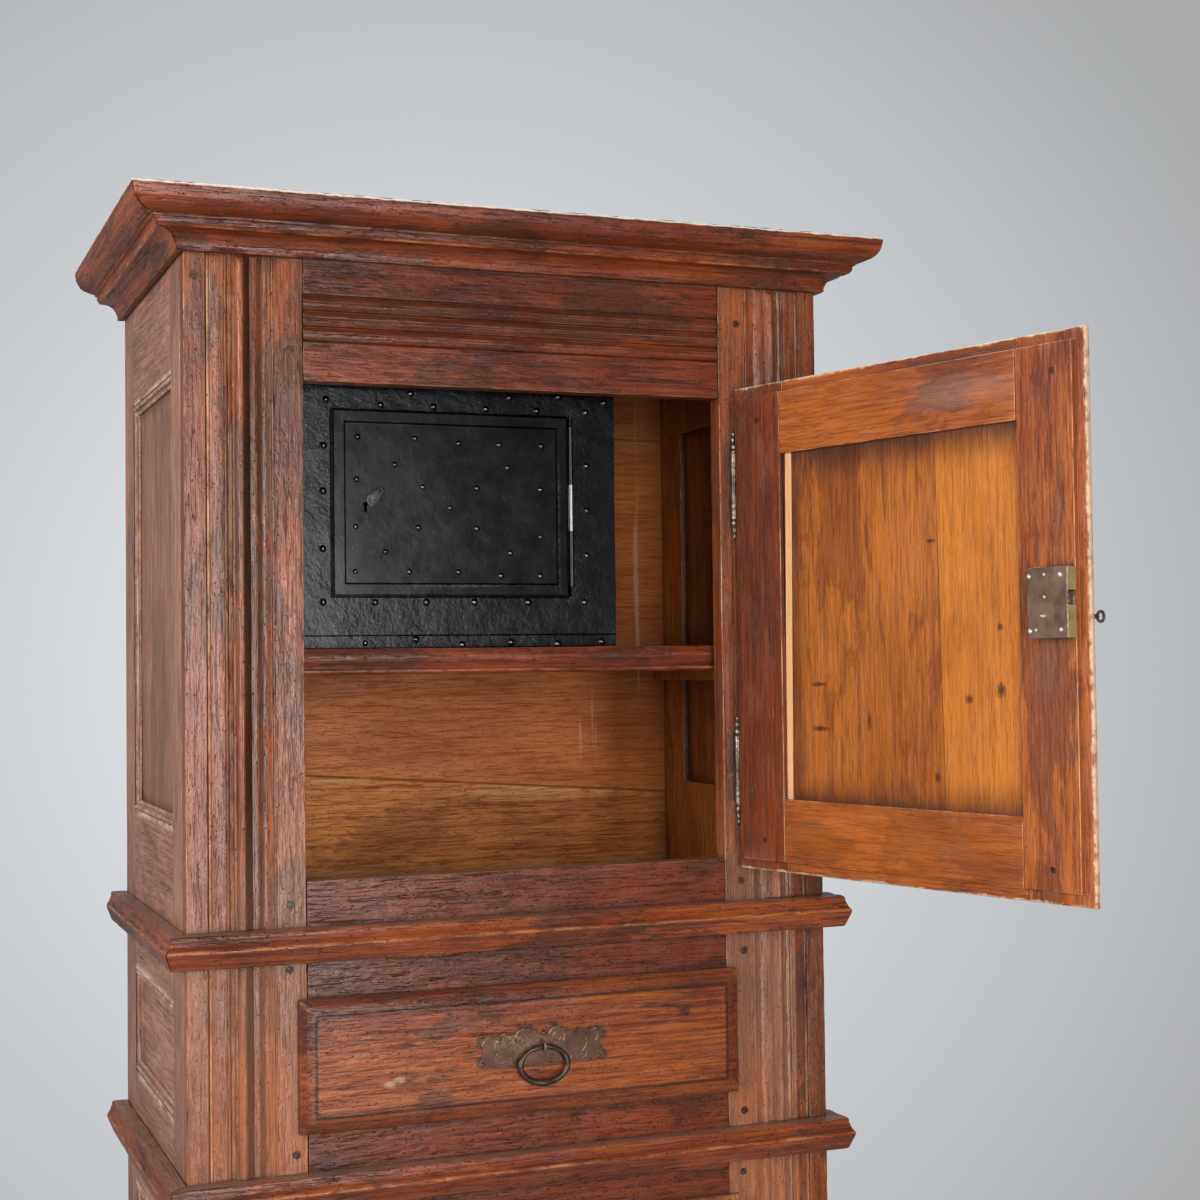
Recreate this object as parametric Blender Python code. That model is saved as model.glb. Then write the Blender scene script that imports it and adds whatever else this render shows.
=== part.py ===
"""A tall two-stage oak cupboard with an iron-clad safe inside, one drawer and two lipped doors.

X runs to the right, Y to the back and Z up. The origin is on the floor, under the middle of the
front face. Sizes are in metres. Doors and drawer are modelled shut, each under an empty on its
joint, and the upper door's empty then turns it to the angle at which it stands open.
"""

import math

import bmesh
import bpy
from mathutils import Vector

# Driving dimensions: fits
GAP = 0.0003                    # between pieces that touch
DOOR_SIDE_CLEARANCE = 0.0025    # door or drawer to the edges of its opening
DOOR_END_CLEARANCE = 0.0030
PANEL_SLACK = 0.0010            # panel edge to the bottom of its groove
OVERRUN = 0.010                 # a cutting shape past the face that it cuts
BITE = 0.002                    # a joined shape into the body that it joins

# Driving dimensions: carcase
BODY_WIDTH = 0.950
BODY_DEPTH = 0.559
OPENING_WIDTH = 0.626
FRAME_THICKNESS = 0.031
SIDE_THICKNESS = 0.025
BACK_THICKNESS = 0.020
BACK_INSET = 0.008
TOP_THICKNESS = 0.018
FLOOR_THICKNESS = 0.020
BOARD_JOINT = 0.0025            # depth of the open joints between the back boards

# Driving dimensions: heights of the tiers, from the floor up
PLINTH_HEIGHT = 0.124
BOTTOM_RAIL_HEIGHT = 0.075
LOWER_OPENING_HEIGHT = 0.427
LOWER_HEAD_HEIGHT = 0.1745
DRAWER_OPENING_HEIGHT = 0.155
UPPER_SILL_HEIGHT = 0.172
UPPER_OPENING_HEIGHT = 0.6805
FRIEZE_HEIGHT = 0.167
CORNICE_HEIGHT = 0.075

# Driving dimensions: mouldings
CORNICE_PROJECTION = 0.078
WAIST_HEIGHT = 0.046
WAIST_PROJECTION = 0.0325
UPPER_WAIST_DROP = 0.062        # opening's lower edge down to the moulding's top
LOWER_WAIST_DROP = 0.0645
PLINTH_PROJECTION = 0.028
PLINTH_INSIDE = 0.025           # how far the plinth reaches in under the carcase
BEAD_HEIGHT = 0.008
REED_COUNT = 3
REED_PITCH = 0.022
REED_RISE = 0.0045
REED_TOP = 0.047                # cornice down to the first reed

# Driving dimensions: side frames and shelf
SIDE_FRONT_STILE = 0.105        # front of the body to the side panel
SIDE_REAR_STILE = 0.094
SIDE_MOULDING = 0.014
SIDE_MOULDING_STEP = 0.0012
SIDE_RECESS = 0.009
SIDE_UPPER_RAIL_RISE = 0.0725   # opening's lower edge up to the upper side panel
SIDE_TOP_RAIL_RISE = 0.017
PANEL_THICKNESS = 0.006
PANEL_TONGUE = 0.008
CLEAT_WIDTH = 0.022
CLEAT_HEIGHT = 0.028
SHELF_RISE = 0.3145             # opening's lower edge up to the top of the shelf
SHELF_THICKNESS = 0.027
SHELF_BEAD = 0.010
SHELF_BEAD_DEPTH = 0.024
SHELF_SETBACK = 0.009
SHELF_NOSE = 0.004              # how far the shelf's front edge swells
UPPER_FLOOR_DROP = 0.070

# Driving dimensions: doors
DOOR_LIP = 0.016
DOOR_LIP_EDGE = 0.009
DOOR_FRONT = 0.015              # front face ahead of the body's front plane
DOOR_REBATE = 0.007             # how far the door goes into its opening
DOOR_MEMBER = 0.090             # stile or rail, without the lip
DOOR_MOULDING = 0.020
DOOR_MOULDING_STEP = 0.0015
STICKING_WIDTH = 0.010          # moulded inner edge of the door's frame
STICKING_STEP = 0.001
STICKING_DEPTH = 0.0054
PANEL_MARGIN = 0.012            # frame to the bevel of the raised panel
PANEL_FIELD_RISE = 0.006
PANEL_FIELD_STEP = 0.001
PANEL_FIELD_BEVEL = 0.045
UPPER_DOOR_OPEN_DEG = 105.0

# Driving dimensions: barrel hinges
KNUCKLE_RADIUS = 0.005
KNUCKLE_TO_LIP = 0.0025
KNUCKLE_TO_POST = 0.0005
KNUCKLE_LENGTH = 0.050
FINIAL_LENGTH = 0.032
PIN_RADIUS = 0.0025
PIN_LENGTH = 0.040
HINGE_LEAF = 0.0020
HINGE_LEAF_DEPTH = 0.018
HINGE_LEAF_HEIGHT = 0.036
HINGE_INSET = 0.129             # door's upper or lower edge to the middle of its hinge

# Driving dimensions: box locks and key
LOCK_WIDTH = 0.062
LOCK_HEIGHT = 0.0865
LOCK_DEPTH = 0.016
LOCK_WALL = 0.0015
UPPER_LOCK_RISE = 0.314         # opening's lower edge up to the lock
LOWER_LOCK_RISE = 0.165
BOLT_HEIGHT = 0.014
BOLT_THICKNESS = 0.008
BOLT_THROW = 0.010
BOLT_TO_BACK = 0.002            # bolt to the lock's back plate
BOLT_TO_KEY = 0.0045            # key's bit up to the bolt
KEEP_CLEARANCE = 0.001
KEY_INSET = 0.034               # door's edge to the key's axis
KEY_RISE = 0.027                # lock's lower edge up to the key's axis
KEY_SHANK_RADIUS = 0.0030
KEY_REACH = 0.060               # key's shank ahead of the door's front
KEY_BOW_RADIUS = 0.0065
KEY_BOW_TUBE = 0.0020
KEY_COLLAR = 0.010              # bow to the collar on the shank
KEY_BIT = 0.0105
KEY_BIT_THICKNESS = 0.0024
KEY_BIT_INSET = 0.003
KEYHOLE_SLOT = 0.0105           # keyhole's middle down to the end of its slot

# Driving dimensions: drawer and its pull
DRAWER_LENGTH = 0.440
DRAWER_FRONT = 0.017
DRAWER_MOULDING = 0.022
DRAWER_BACK_OF_FRONT = 0.012
DRAWER_WALL = 0.014
DRAWER_BOTTOM = 0.008
DRAWER_BOTTOM_RISE = 0.008
DRAWER_SIDE_HEIGHT = 0.142
PULL_OFFSET = 0.016
PULL_RISE = 0.0825              # drawer opening's lower edge up to the ring's pivot
PLATE_WIDTH = 0.190
PLATE_HEIGHT = 0.052
PLATE_THICKNESS = 0.0016
RING_WIDTH = 0.070
RING_HEIGHT = 0.050
RING_TUBE = 0.0030
EYE_HOLE = 0.0042
EYE_TUBE = 0.0020
EYE_REACH = 0.0100              # plate's face to the ring's pivot

# Driving dimensions: iron-clad safe
SAFE_LEFT = -0.330
SAFE_WIDTH = 0.4995
SAFE_HEIGHT = 0.392
SAFE_DEPTH = 0.300
SAFE_FRONT = 0.060
SAFE_WALL = 0.006
SAFE_DOOR_LEFT = 0.071
SAFE_DOOR_BOTTOM = 0.074
SAFE_DOOR_WIDTH = 0.351
SAFE_DOOR_HEIGHT = 0.262
SAFE_DOOR_THICKNESS = 0.0045
SAFE_DOOR_STRIP = 0.017
SAFE_STRIP_RISE = 0.0015
SAFE_DOOR_OVERLAP = 0.014
SAFE_BARREL_RADIUS = 0.0040
SAFE_BARREL_GAP = 0.002
SAFE_FLAP = 0.002
SAFE_BARREL_LENGTH = 0.236
SAFE_LUG = 0.014
SAFE_PIN_RADIUS = 0.0020
COVER_LENGTH = 0.030
COVER_RADIUS = 0.0085
COVER_THICKNESS = 0.0020
COVER_PIN_RADIUS = 0.0018
COVER_PIN_HEAD = 0.0008
COVER_TILT_DEG = 42.0
COVER_INSET = 0.068             # safe door's left edge to the cover's pivot
COVER_RISE = 0.148              # safe door's lower edge up to the cover's pivot
SAFE_KEYHOLE_LEFT = 0.021       # cover's pivot to the keyhole's middle
SAFE_KEYHOLE_DROP = 0.019
SAFE_KEYHOLE_RADIUS = 0.0034

# Levels worked out from the heights
LOWER_SILL = PLINTH_HEIGHT + BOTTOM_RAIL_HEIGHT
LOWER_HEAD = LOWER_SILL + LOWER_OPENING_HEIGHT
DRAWER_SILL = LOWER_HEAD + LOWER_HEAD_HEIGHT
DRAWER_HEAD = DRAWER_SILL + DRAWER_OPENING_HEIGHT
UPPER_SILL = DRAWER_HEAD + UPPER_SILL_HEIGHT
UPPER_HEAD = UPPER_SILL + UPPER_OPENING_HEIGHT
CORNICE_BOTTOM = UPPER_HEAD + FRIEZE_HEIGHT
TOP = CORNICE_BOTTOM + CORNICE_HEIGHT
CARCASE_BOTTOM = PLINTH_HEIGHT + GAP
CARCASE_TOP = TOP - TOP_THICKNESS - GAP
UPPER_WAIST = UPPER_SILL - UPPER_WAIST_DROP - WAIST_HEIGHT
LOWER_WAIST = DRAWER_SILL - LOWER_WAIST_DROP - WAIST_HEIGHT
HALF_WIDTH = BODY_WIDTH / 2
HALF_OPENING = OPENING_WIDTH / 2
BACK_FACE = BODY_DEPTH - BACK_INSET - BACK_THICKNESS
INSIDE_X = HALF_WIDTH - SIDE_THICKNESS
SHELF_TOP = UPPER_SILL + SHELF_RISE
POST_WIDTH = HALF_WIDTH - HALF_OPENING
HINGE_X = HALF_OPENING - DOOR_SIDE_CLEARANCE + DOOR_LIP + KNUCKLE_TO_LIP + KNUCKLE_RADIUS
HINGE_Y = -KNUCKLE_RADIUS - KNUCKLE_TO_POST
RING_SEAT = EYE_HOLE - RING_TUBE - GAP

for old in list(bpy.data.objects):
    bpy.data.objects.remove(old)


def finish(name, colour, roughness, metallic):
    """A plain Principled material."""
    made = bpy.data.materials.new(name)
    made.use_nodes = True
    shader = made.node_tree.nodes["Principled BSDF"]
    shader.inputs["Base Color"].default_value = (*colour, 1)
    shader.inputs["Roughness"].default_value = roughness
    shader.inputs["Metallic"].default_value = metallic
    return made


WOOD = finish("waxed_oak", (0.130, 0.042, 0.016), 0.42, 0.0)
INNER_WOOD = finish("inner_wood", (0.230, 0.105, 0.036), 0.60, 0.0)
BLACK_IRON = finish("black_iron", (0.010, 0.011, 0.012), 0.42, 0.6)
OLD_IRON = finish("old_iron", (0.060, 0.048, 0.040), 0.45, 0.9)
STEEL = finish("bright_steel", (0.360, 0.340, 0.310), 0.35, 1.0)


def pivot(name, location, parent=None, turn_deg=0.0):
    """An empty on a joint's axis."""
    empty = bpy.data.objects.new(name, None)
    empty["shut"] = location
    empty.parent = parent
    base = Vector(parent["shut"]) if parent else Vector()
    empty.location = Vector(location) - base
    empty.rotation_euler.z = math.radians(turn_deg)
    bpy.context.collection.objects.link(empty)
    return empty


def add(name, bm, material, parent=None, smooth=False):
    """An object from a bmesh drawn in its shut place."""
    base = Vector(parent["shut"]) if parent else Vector()
    bmesh.ops.translate(bm, verts=bm.verts, vec=-base)
    bmesh.ops.remove_doubles(bm, verts=bm.verts, dist=1e-6)
    bmesh.ops.recalc_face_normals(bm, faces=bm.faces)
    mesh = bpy.data.meshes.new(name)
    bm.to_mesh(mesh)
    bm.free()
    mesh.materials.append(material)
    if smooth:
        mesh.shade_smooth()
        mesh.set_sharp_from_angle(angle=math.radians(40))
    made = bpy.data.objects.new(name, mesh)
    made.parent = parent
    bpy.context.collection.objects.link(made)
    return made


def cutter(name, bm, parent=None):
    """A hidden shape for a Boolean."""
    made = add(name, bm, WOOD, parent)
    made.hide_render = True
    made.display_type = "WIRE"
    return made


def combine(target, tool, operation="DIFFERENCE"):
    """Cut or join a hidden shape into an object."""
    step = target.modifiers.new(tool.name, "BOOLEAN")
    step.operation = operation
    step.object = tool


def block(x, y, z, bm=None):
    """A box between two values on each axis, added to bm if it is given."""
    bm = bm or bmesh.new()
    corners = bmesh.ops.create_cube(bm, size=1)["verts"]
    for vert in corners:
        vert.co = [low + (high - low) * (part + 0.5) for part, (low, high) in zip(vert.co, (x, y, z))]
    return bm


def prism(outline, axis, low, high, bm=None):
    """A closed outline in the plane across an axis, drawn out along it."""
    bm = bm or bmesh.new()
    order = {"x": lambda u, v: (low, u, v), "y": lambda u, v: (u, low, v), "z": lambda u, v: (u, v, low)}
    face = bm.faces.new([bm.verts.new(order[axis](u, v)) for u, v in outline])
    grown = bmesh.ops.extrude_face_region(bm, geom=[face])["geom"]
    travel = [high - low if name == axis else 0 for name in "xyz"]
    bmesh.ops.translate(bm, vec=travel, verts=[g for g in grown if isinstance(g, bmesh.types.BMVert)])
    return bm


def stack(levels, axis="y", bm=None):
    """A solid through rectangles (low u, high u, low v, high v), each at its depth along an axis."""
    bm = bm or bmesh.new()
    order = {"x": lambda d, u, v: (d, u, v), "y": lambda d, u, v: (u, d, v)}[axis]
    rings = []
    for depth, (u0, u1, v0, v1) in levels:
        corners = ((u0, v0), (u1, v0), (u1, v1), (u0, v1))
        rings.append([bm.verts.new(order(depth, u, v)) for u, v in corners])
    for near, far in zip(rings, rings[1:]):
        for i in range(4):
            j = (i + 1) % 4
            bm.faces.new((near[i], near[j], far[j], far[i]))
    bm.faces.new(rings[0])
    bm.faces.new(rings[-1])
    return bm


def frame(rectangle, outline):
    """A mitred ring round a rectangle in XZ, from a closed outline of (inset, y)."""
    bm = bmesh.new()
    x0, x1, z0, z1 = rectangle
    rings = []
    for sx, sz in ((0, 0), (1, 0), (1, 1), (0, 1)):
        ring = []
        for inset, y in outline:
            x = x1 - inset if sx else x0 + inset
            z = z1 - inset if sz else z0 + inset
            ring.append(bm.verts.new((x, y, z)))
        rings.append(ring)
    count = len(outline)
    for k in range(4):
        here, after = rings[k], rings[(k + 1) % 4]
        for i in range(count):
            j = (i + 1) % count
            bm.faces.new((here[i], here[j], after[j], after[i]))
    return bm


def lathe(profile, centre, segments=12, bm=None):
    """A turned solid about a vertical line, from (radius, z) points that start and end on it."""
    bm = bm or bmesh.new()
    verts = [bm.verts.new((radius, 0, z)) for radius, z in profile]
    edges = [bm.edges.new(pair) for pair in zip(verts, verts[1:])]
    bmesh.ops.spin(bm, geom=verts + edges, cent=(0, 0, 0), axis=(0, 0, 1),
                   angle=math.tau, steps=segments, use_merge=True)
    bmesh.ops.remove_doubles(bm, verts=bm.verts, dist=1e-6)
    bmesh.ops.translate(bm, verts=bm.verts, vec=centre)
    return bm


def arc(start, end, bulge, steps=5):
    """Points between two ends on a curve that leaves the chord by bulge at its middle."""
    (u0, v0), (u1, v1) = start, end
    length = math.hypot(u1 - u0, v1 - v0)
    across = (-(v1 - v0) / length, (u1 - u0) / length)
    points = []
    for i in range(1, steps):
        t = i / steps
        rise = bulge * math.sin(math.pi * t)
        points.append((u0 + (u1 - u0) * t + across[0] * rise, v0 + (v1 - v0) * t + across[1] * rise))
    return points


def grown(rectangle, margin):
    """A rectangle (low u, high u, low v, high v) widened by a margin on every side."""
    u0, u1, v0, v1 = rectangle
    return (u0 - margin, u1 + margin, v0 - margin, v1 + margin)


def shifted(outline, rise):
    """An outline of (projection, z) points moved up."""
    return [(projection, z + rise) for projection, z in outline]


def moulding(name, outline, side):
    """One length of a wall moulding, mitred at the front corners.

    The outline holds (projection, z) points. Side is 0 for the front, -1 for left and 1 for right.
    """
    bm = bmesh.new()
    ends = ([], [])
    for projection, z in outline:
        if side == 0:
            reach = HALF_WIDTH + projection - GAP
            places = ((-reach, -projection, z), (reach, -projection, z))
        else:
            x = side * (HALF_WIDTH + projection)
            places = ((x, GAP - projection, z), (x, BODY_DEPTH, z))
        for end, place in zip(ends, places):
            end.append(bm.verts.new(place))
    count = len(outline)
    for i in range(count):
        j = (i + 1) % count
        bm.faces.new((ends[0][i], ends[0][j], ends[1][j], ends[1][i]))
    bm.faces.new(ends[0])
    bm.faces.new(ends[1])
    return add(name, bm, WOOD)


def plinth():
    """The moulded plinth: a front and two sides in one mitred piece, which the carcase stands on."""
    out, inn, high = PLINTH_PROJECTION, -PLINTH_INSIDE, PLINTH_HEIGHT
    outline = [(inn, 0), (out, 0), (out, high * 0.66), (out * 0.86, high * 0.68)]
    outline += arc((out * 0.86, high * 0.68), (out * 0.22, high * 0.93), -out * 0.14)
    outline += [(out * 0.22, high * 0.93), (out * 0.22, high), (inn, high)]
    bm = bmesh.new()
    rings = [[], [], [], []]
    for projection, z in outline:
        x = HALF_WIDTH + projection
        places = ((-x, BODY_DEPTH, z), (-x, -projection, z), (x, -projection, z), (x, BODY_DEPTH, z))
        for ring, place in zip(rings, places):
            ring.append(bm.verts.new(place))
    count = len(outline)
    for here, after in zip(rings, rings[1:]):
        for i in range(count):
            j = (i + 1) % count
            bm.faces.new((here[i], here[j], after[j], after[i]))
    bm.faces.new(rings[0])
    bm.faces.new(rings[3])
    add("plinth", bm, WOOD)


def cornice():
    """The crown moulding: cavetto, ovolo, fillets and a large ovolo under a thin top edge."""
    wide, high = CORNICE_PROJECTION, CORNICE_HEIGHT
    outline = [(GAP, 0), (wide * 0.15, 0), (wide * 0.15, high * 0.09)]
    outline += arc((wide * 0.15, high * 0.09), (wide * 0.47, high * 0.33), wide * 0.077)
    outline += [(wide * 0.47, high * 0.33), (wide * 0.51, high * 0.33)]
    outline += arc((wide * 0.51, high * 0.33), (wide * 0.56, high * 0.48), -wide * 0.026, 3)
    outline += [(wide * 0.56, high * 0.48), (wide * 0.61, high * 0.48), (wide * 0.61, high * 0.53)]
    outline += [(wide * 0.65, high * 0.53)]
    outline += arc((wide * 0.65, high * 0.53), (wide, high * 0.91), -wide * 0.10, 6)
    outline += [(wide, high * 0.91), (wide, high), (GAP, high)]
    for side, word in ((0, "front"), (-1, "left"), (1, "right")):
        moulding("cornice_" + word, shifted(outline, CORNICE_BOTTOM), side)


def waist(name, level):
    """A waist moulding: flat top, small fillet, ogee to a nose and a slope back under it."""
    wide, high = WAIST_PROJECTION, WAIST_HEIGHT
    outline = [(GAP, 0), (wide * 0.74, 0), (wide * 0.97, high * 0.42), (wide, high * 0.48)]
    outline += [(wide, high * 0.55)]
    outline += arc((wide, high * 0.55), (wide * 0.80, high * 0.82), wide * 0.037, 4)
    outline += [(wide * 0.80, high * 0.82), (wide * 0.77, high * 0.84), (wide * 0.77, high * 0.94)]
    outline += [(wide * 0.72, high), (GAP, high)]
    for side, word in ((0, "front"), (-1, "left"), (1, "right")):
        moulding(name + "_" + word, shifted(outline, level), side)


def post_outline():
    """The face of a post: (distance from the outer edge, height above the front plane)."""
    wide, bead = POST_WIDTH, BEAD_HEIGHT
    quirk = bead * 0.22
    points = [(0, 0), (wide * 0.179, 0), (wide * 0.185, -quirk), (wide * 0.191, 0)]
    points += arc((wide * 0.191, 0), (wide * 0.395, 0), bead * 0.3, 6)
    points += [(wide * 0.395, 0), (wide * 0.401, -quirk), (wide * 0.420, -quirk), (wide * 0.426, 0)]
    points += arc((wide * 0.426, 0), (wide * 0.519, bead * 0.25), bead * 0.88, 8)
    points += [(wide * 0.519, bead * 0.25), (wide * 0.543, 0), (wide * 0.546, bead * 0.25)]
    points += [(wide * 0.593, bead * 0.25)]
    points += arc((wide * 0.593, bead * 0.25), (wide * 0.716, bead * 0.125), -bead * 0.5, 5)
    points += [(wide * 0.716, bead * 0.125), (wide * 0.747, bead * 0.125), (wide * 0.750, 0), (wide, 0)]
    return points


def posts():
    """The two moulded front posts, planed flat where the cornice and waist mouldings cross them."""
    wide = HALF_WIDTH + OVERRUN
    ahead = BEAD_HEIGHT + OVERRUN
    flat = GAP / 3
    bm = bmesh.new()
    for level in (UPPER_WAIST, LOWER_WAIST):
        block((-wide, wide), (-ahead, flat), (level - GAP, level + WAIST_HEIGHT + GAP), bm)
    under = CORNICE_BOTTOM - GAP
    prism([(flat, under), (-ahead, under - ahead), (-ahead, TOP), (flat, TOP)], "x", -wide, wide, bm)
    bands = cutter("moulding_bands", bm)
    made = {}
    for side, word in ((-1, "left"), (1, "right")):
        face = [(side * (HALF_WIDTH - distance), -height) for distance, height in post_outline()]
        back = [(side * HALF_OPENING, FRAME_THICKNESS), (side * HALF_WIDTH, FRAME_THICKNESS)]
        solid = prism(face + back, "z", CARCASE_BOTTOM, CARCASE_TOP)
        made[word] = add("post_" + word, solid, WOOD)
        combine(made[word], bands)
    return made


def rails():
    """The four front rails between the posts. The top one carries three horizontal reeds."""
    across = (-HALF_OPENING + GAP, HALF_OPENING - GAP)
    thick = (0, FRAME_THICKNESS)
    face = [(FRAME_THICKNESS, UPPER_HEAD), (0, UPPER_HEAD)]
    for i in reversed(range(REED_COUNT)):
        top = CORNICE_BOTTOM - REED_TOP - i * REED_PITCH
        low, high = (REED_RISE * 0.8, top - REED_PITCH), (REED_RISE * 0.8, top)
        if i == REED_COUNT - 1:
            face.append((0, low[1]))
        face.append(low)
        face += arc(low, high, REED_RISE, 6)
        if i == 0:
            face.append(high)
    face += [(0, CORNICE_BOTTOM - REED_TOP), (0, CARCASE_TOP), (FRAME_THICKNESS, CARCASE_TOP)]
    add("frieze_rail", prism(face, "x", *across), WOOD)
    add("upper_sill_rail", block(across, thick, (DRAWER_HEAD, UPPER_SILL)), WOOD)
    add("lower_head_rail", block(across, thick, (LOWER_HEAD, DRAWER_SILL)), WOOD)
    add("bottom_rail", block(across, thick, (CARCASE_BOTTOM, LOWER_SILL)), WOOD)


def sides():
    """The two side frames with sunk panels, and the cleats inside them that carry the floors."""
    run = (SIDE_FRONT_STILE, BODY_DEPTH - SIDE_REAR_STILE)
    windows = {
        "upper": (*run, UPPER_SILL + SIDE_UPPER_RAIL_RISE, UPPER_HEAD + SIDE_TOP_RAIL_RISE),
        "drawer": (*run, DRAWER_SILL, DRAWER_HEAD),
        "lower": (*run, LOWER_SILL + SIDE_TOP_RAIL_RISE, LOWER_HEAD),
    }
    seats = (UPPER_SILL - UPPER_FLOOR_DROP, DRAWER_SILL, LOWER_SILL - GAP)
    under = [level - FLOOR_THICKNESS - GAP for level in seats] + [SHELF_TOP - SHELF_THICKNESS - GAP]
    clear = FRAME_THICKNESS + SHELF_SETBACK + SHELF_BEAD_DEPTH + GAP
    for side, word in ((-1, "left"), (1, "right")):
        outer, inner = side * HALF_WIDTH, side * INSIDE_X

        def depth(amount, outer=outer, side=side):
            return outer - side * amount

        solid = block(sorted((outer, inner)), (FRAME_THICKNESS + GAP, BODY_DEPTH),
                      (CARCASE_BOTTOM, CARCASE_TOP))
        body = add("side_frame_" + word, solid, WOOD)
        for tier, window in windows.items():
            sight = grown(window, -SIDE_MOULDING)
            groove = grown(sight, PANEL_TONGUE)
            step = depth(SIDE_MOULDING_STEP)
            levels = [(depth(-OVERRUN), window), (step, window), (step, grown(window, -SIDE_MOULDING * 0.2)),
                      (depth(SIDE_RECESS * 0.45), grown(window, -SIDE_MOULDING * 0.55)),
                      (depth(SIDE_RECESS), sight)]
            if tier != "drawer":
                back = SIDE_RECESS + PANEL_THICKNESS + 2 * GAP
                levels += [(depth(SIDE_RECESS), groove), (depth(back), groove), (depth(back), sight),
                           (depth(SIDE_THICKNESS + OVERRUN), sight)]
                panel = grown(groove, -PANEL_SLACK)
                faces = [(depth(SIDE_RECESS + GAP), panel), (depth(back - GAP), panel)]
                add("side_panel_" + tier + "_" + word, stack(faces, "x"), WOOD)
            tool = cutter("side_window_" + tier + "_" + word, stack(levels, "x"))
            combine(body, tool)
        cleats = bmesh.new()
        for level in under:
            reach = sorted((inner + side * BITE, inner - side * CLEAT_WIDTH))
            block(reach, (clear, BACK_FACE - GAP), (level - CLEAT_HEIGHT, level), cleats)
        combine(body, cutter("cleats_" + word, cleats), "UNION")


def boards():
    """Back, top, the three floors and the shelf with its moulded front edge."""
    across = (-INSIDE_X + GAP, INSIDE_X - GAP)
    inside = (FRAME_THICKNESS + GAP, BACK_FACE - GAP)
    near, far = BACK_FACE, BACK_FACE + BACK_THICKNESS
    joints = (LOWER_HEAD, UPPER_SILL - UPPER_FLOOR_DROP, UPPER_SILL + SHELF_RISE * 0.33,
              SHELF_TOP, UPPER_HEAD)
    face = [(far, CARCASE_BOTTOM), (near, CARCASE_BOTTOM)]
    for joint in joints:
        face += [(near, joint - BOARD_JOINT), (near + BOARD_JOINT, joint), (near, joint + BOARD_JOINT)]
    face += [(near, CARCASE_TOP), (far, CARCASE_TOP)]
    add("back_boards", prism(face, "x", *across), INNER_WOOD)
    add("top_board", block((-HALF_WIDTH, HALF_WIDTH), (0, BODY_DEPTH), (CARCASE_TOP + GAP, TOP)), WOOD)
    seats = (("upper_floor", UPPER_SILL - UPPER_FLOOR_DROP), ("drawer_floor", DRAWER_SILL),
             ("lower_floor", LOWER_SILL - GAP))
    for name, level in seats:
        add(name, block(across, inside, (level - FLOOR_THICKNESS, level)), INNER_WOOD)
    front, under = FRAME_THICKNESS + SHELF_SETBACK, SHELF_TOP - SHELF_THICKNESS
    nose, bead = SHELF_NOSE, under - SHELF_BEAD
    edge = [(inside[1], SHELF_TOP), (inside[1], under), (front + SHELF_BEAD_DEPTH, under)]
    edge += [(front + SHELF_BEAD_DEPTH, bead), (front + nose * 2, bead)]
    edge += arc((front + nose * 2, bead), (front + nose * 1.5, under), nose * 0.75, 4)
    edge += [(front + nose * 1.5, under)]
    edge += arc((front + nose * 1.5, under), (front + nose, SHELF_TOP), nose, 6)
    edge += [(front + nose, SHELF_TOP)]
    add("shelf", prism(edge, "x", *across), WOOD)


def hinge(name, level, door):
    """A barrel hinge with turned finials: the post's half holds the pin, the door's half turns on it."""
    centre = (HINGE_X, HINGE_Y, level)
    radius, length, tip = KNUCKLE_RADIUS, KNUCKLE_LENGTH, FINIAL_LENGTH
    beads = [(radius, length), (radius * 0.6, length + tip * 0.06), (radius * 1.0, length + tip * 0.22),
             (radius * 0.5, length + tip * 0.38), (radius * 0.85, length + tip * 0.54),
             (radius * 0.4, length + tip * 0.70), (radius * 0.6, length + tip * 0.84), (0, length + tip)]
    pin = [(0, PIN_LENGTH - GAP), (PIN_RADIUS, PIN_LENGTH - GAP), (PIN_RADIUS, -GAP), (radius, -GAP)]
    lower = pin + [(r, -z) for r, z in beads]
    bore = PIN_RADIUS + GAP
    upper = [(0, PIN_LENGTH), (bore, PIN_LENGTH), (bore, GAP), (radius, GAP)] + beads
    leaf, tall = HINGE_LEAF / 2, HINGE_LEAF_HEIGHT
    first = (length - tall) / 2
    embed = PIN_RADIUS + 2 * GAP

    fixed = add(name + "_post_half", lathe(lower, centre), OLD_IRON, smooth=True)
    tab = block((HINGE_X - leaf, HINGE_X + leaf), (HINGE_Y + embed, HINGE_LEAF_DEPTH),
                (level - first - tall, level - first))
    combine(fixed, cutter(name + "_post_leaf", tab), "UNION")
    turning = add(name + "_door_half", lathe(upper, centre), OLD_IRON, door, smooth=True)
    tab = block((HALF_OPENING - GAP, HINGE_X - embed), (HINGE_Y - leaf, HINGE_Y + leaf),
                (level + first, level + first + tall))
    combine(turning, cutter(name + "_door_leaf", tab, door), "UNION")


def hinge_levels(sill, head):
    """The heights of the middles of a door's two hinges."""
    return (head - HINGE_INSET, sill + HINGE_INSET)


def leaf_slots(sill, head, door):
    """Slots for the hinge leaves: in the post, or in the door when one is given."""
    leaf = HINGE_LEAF / 2 + GAP
    first = (KNUCKLE_LENGTH - HINGE_LEAF_HEIGHT) / 2
    bm = bmesh.new()
    for level in hinge_levels(sill, head):
        if door:
            span = (level + first - GAP, level + first + HINGE_LEAF_HEIGHT + GAP)
            block((HALF_OPENING - 2 * GAP, HINGE_X), (HINGE_Y - leaf, HINGE_Y + leaf), span, bm)
        else:
            span = (level - first - HINGE_LEAF_HEIGHT - GAP, level - first + GAP)
            block((HINGE_X - leaf, HINGE_X + leaf), (-OVERRUN, HINGE_LEAF_DEPTH + GAP), span, bm)
    return bm


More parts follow.
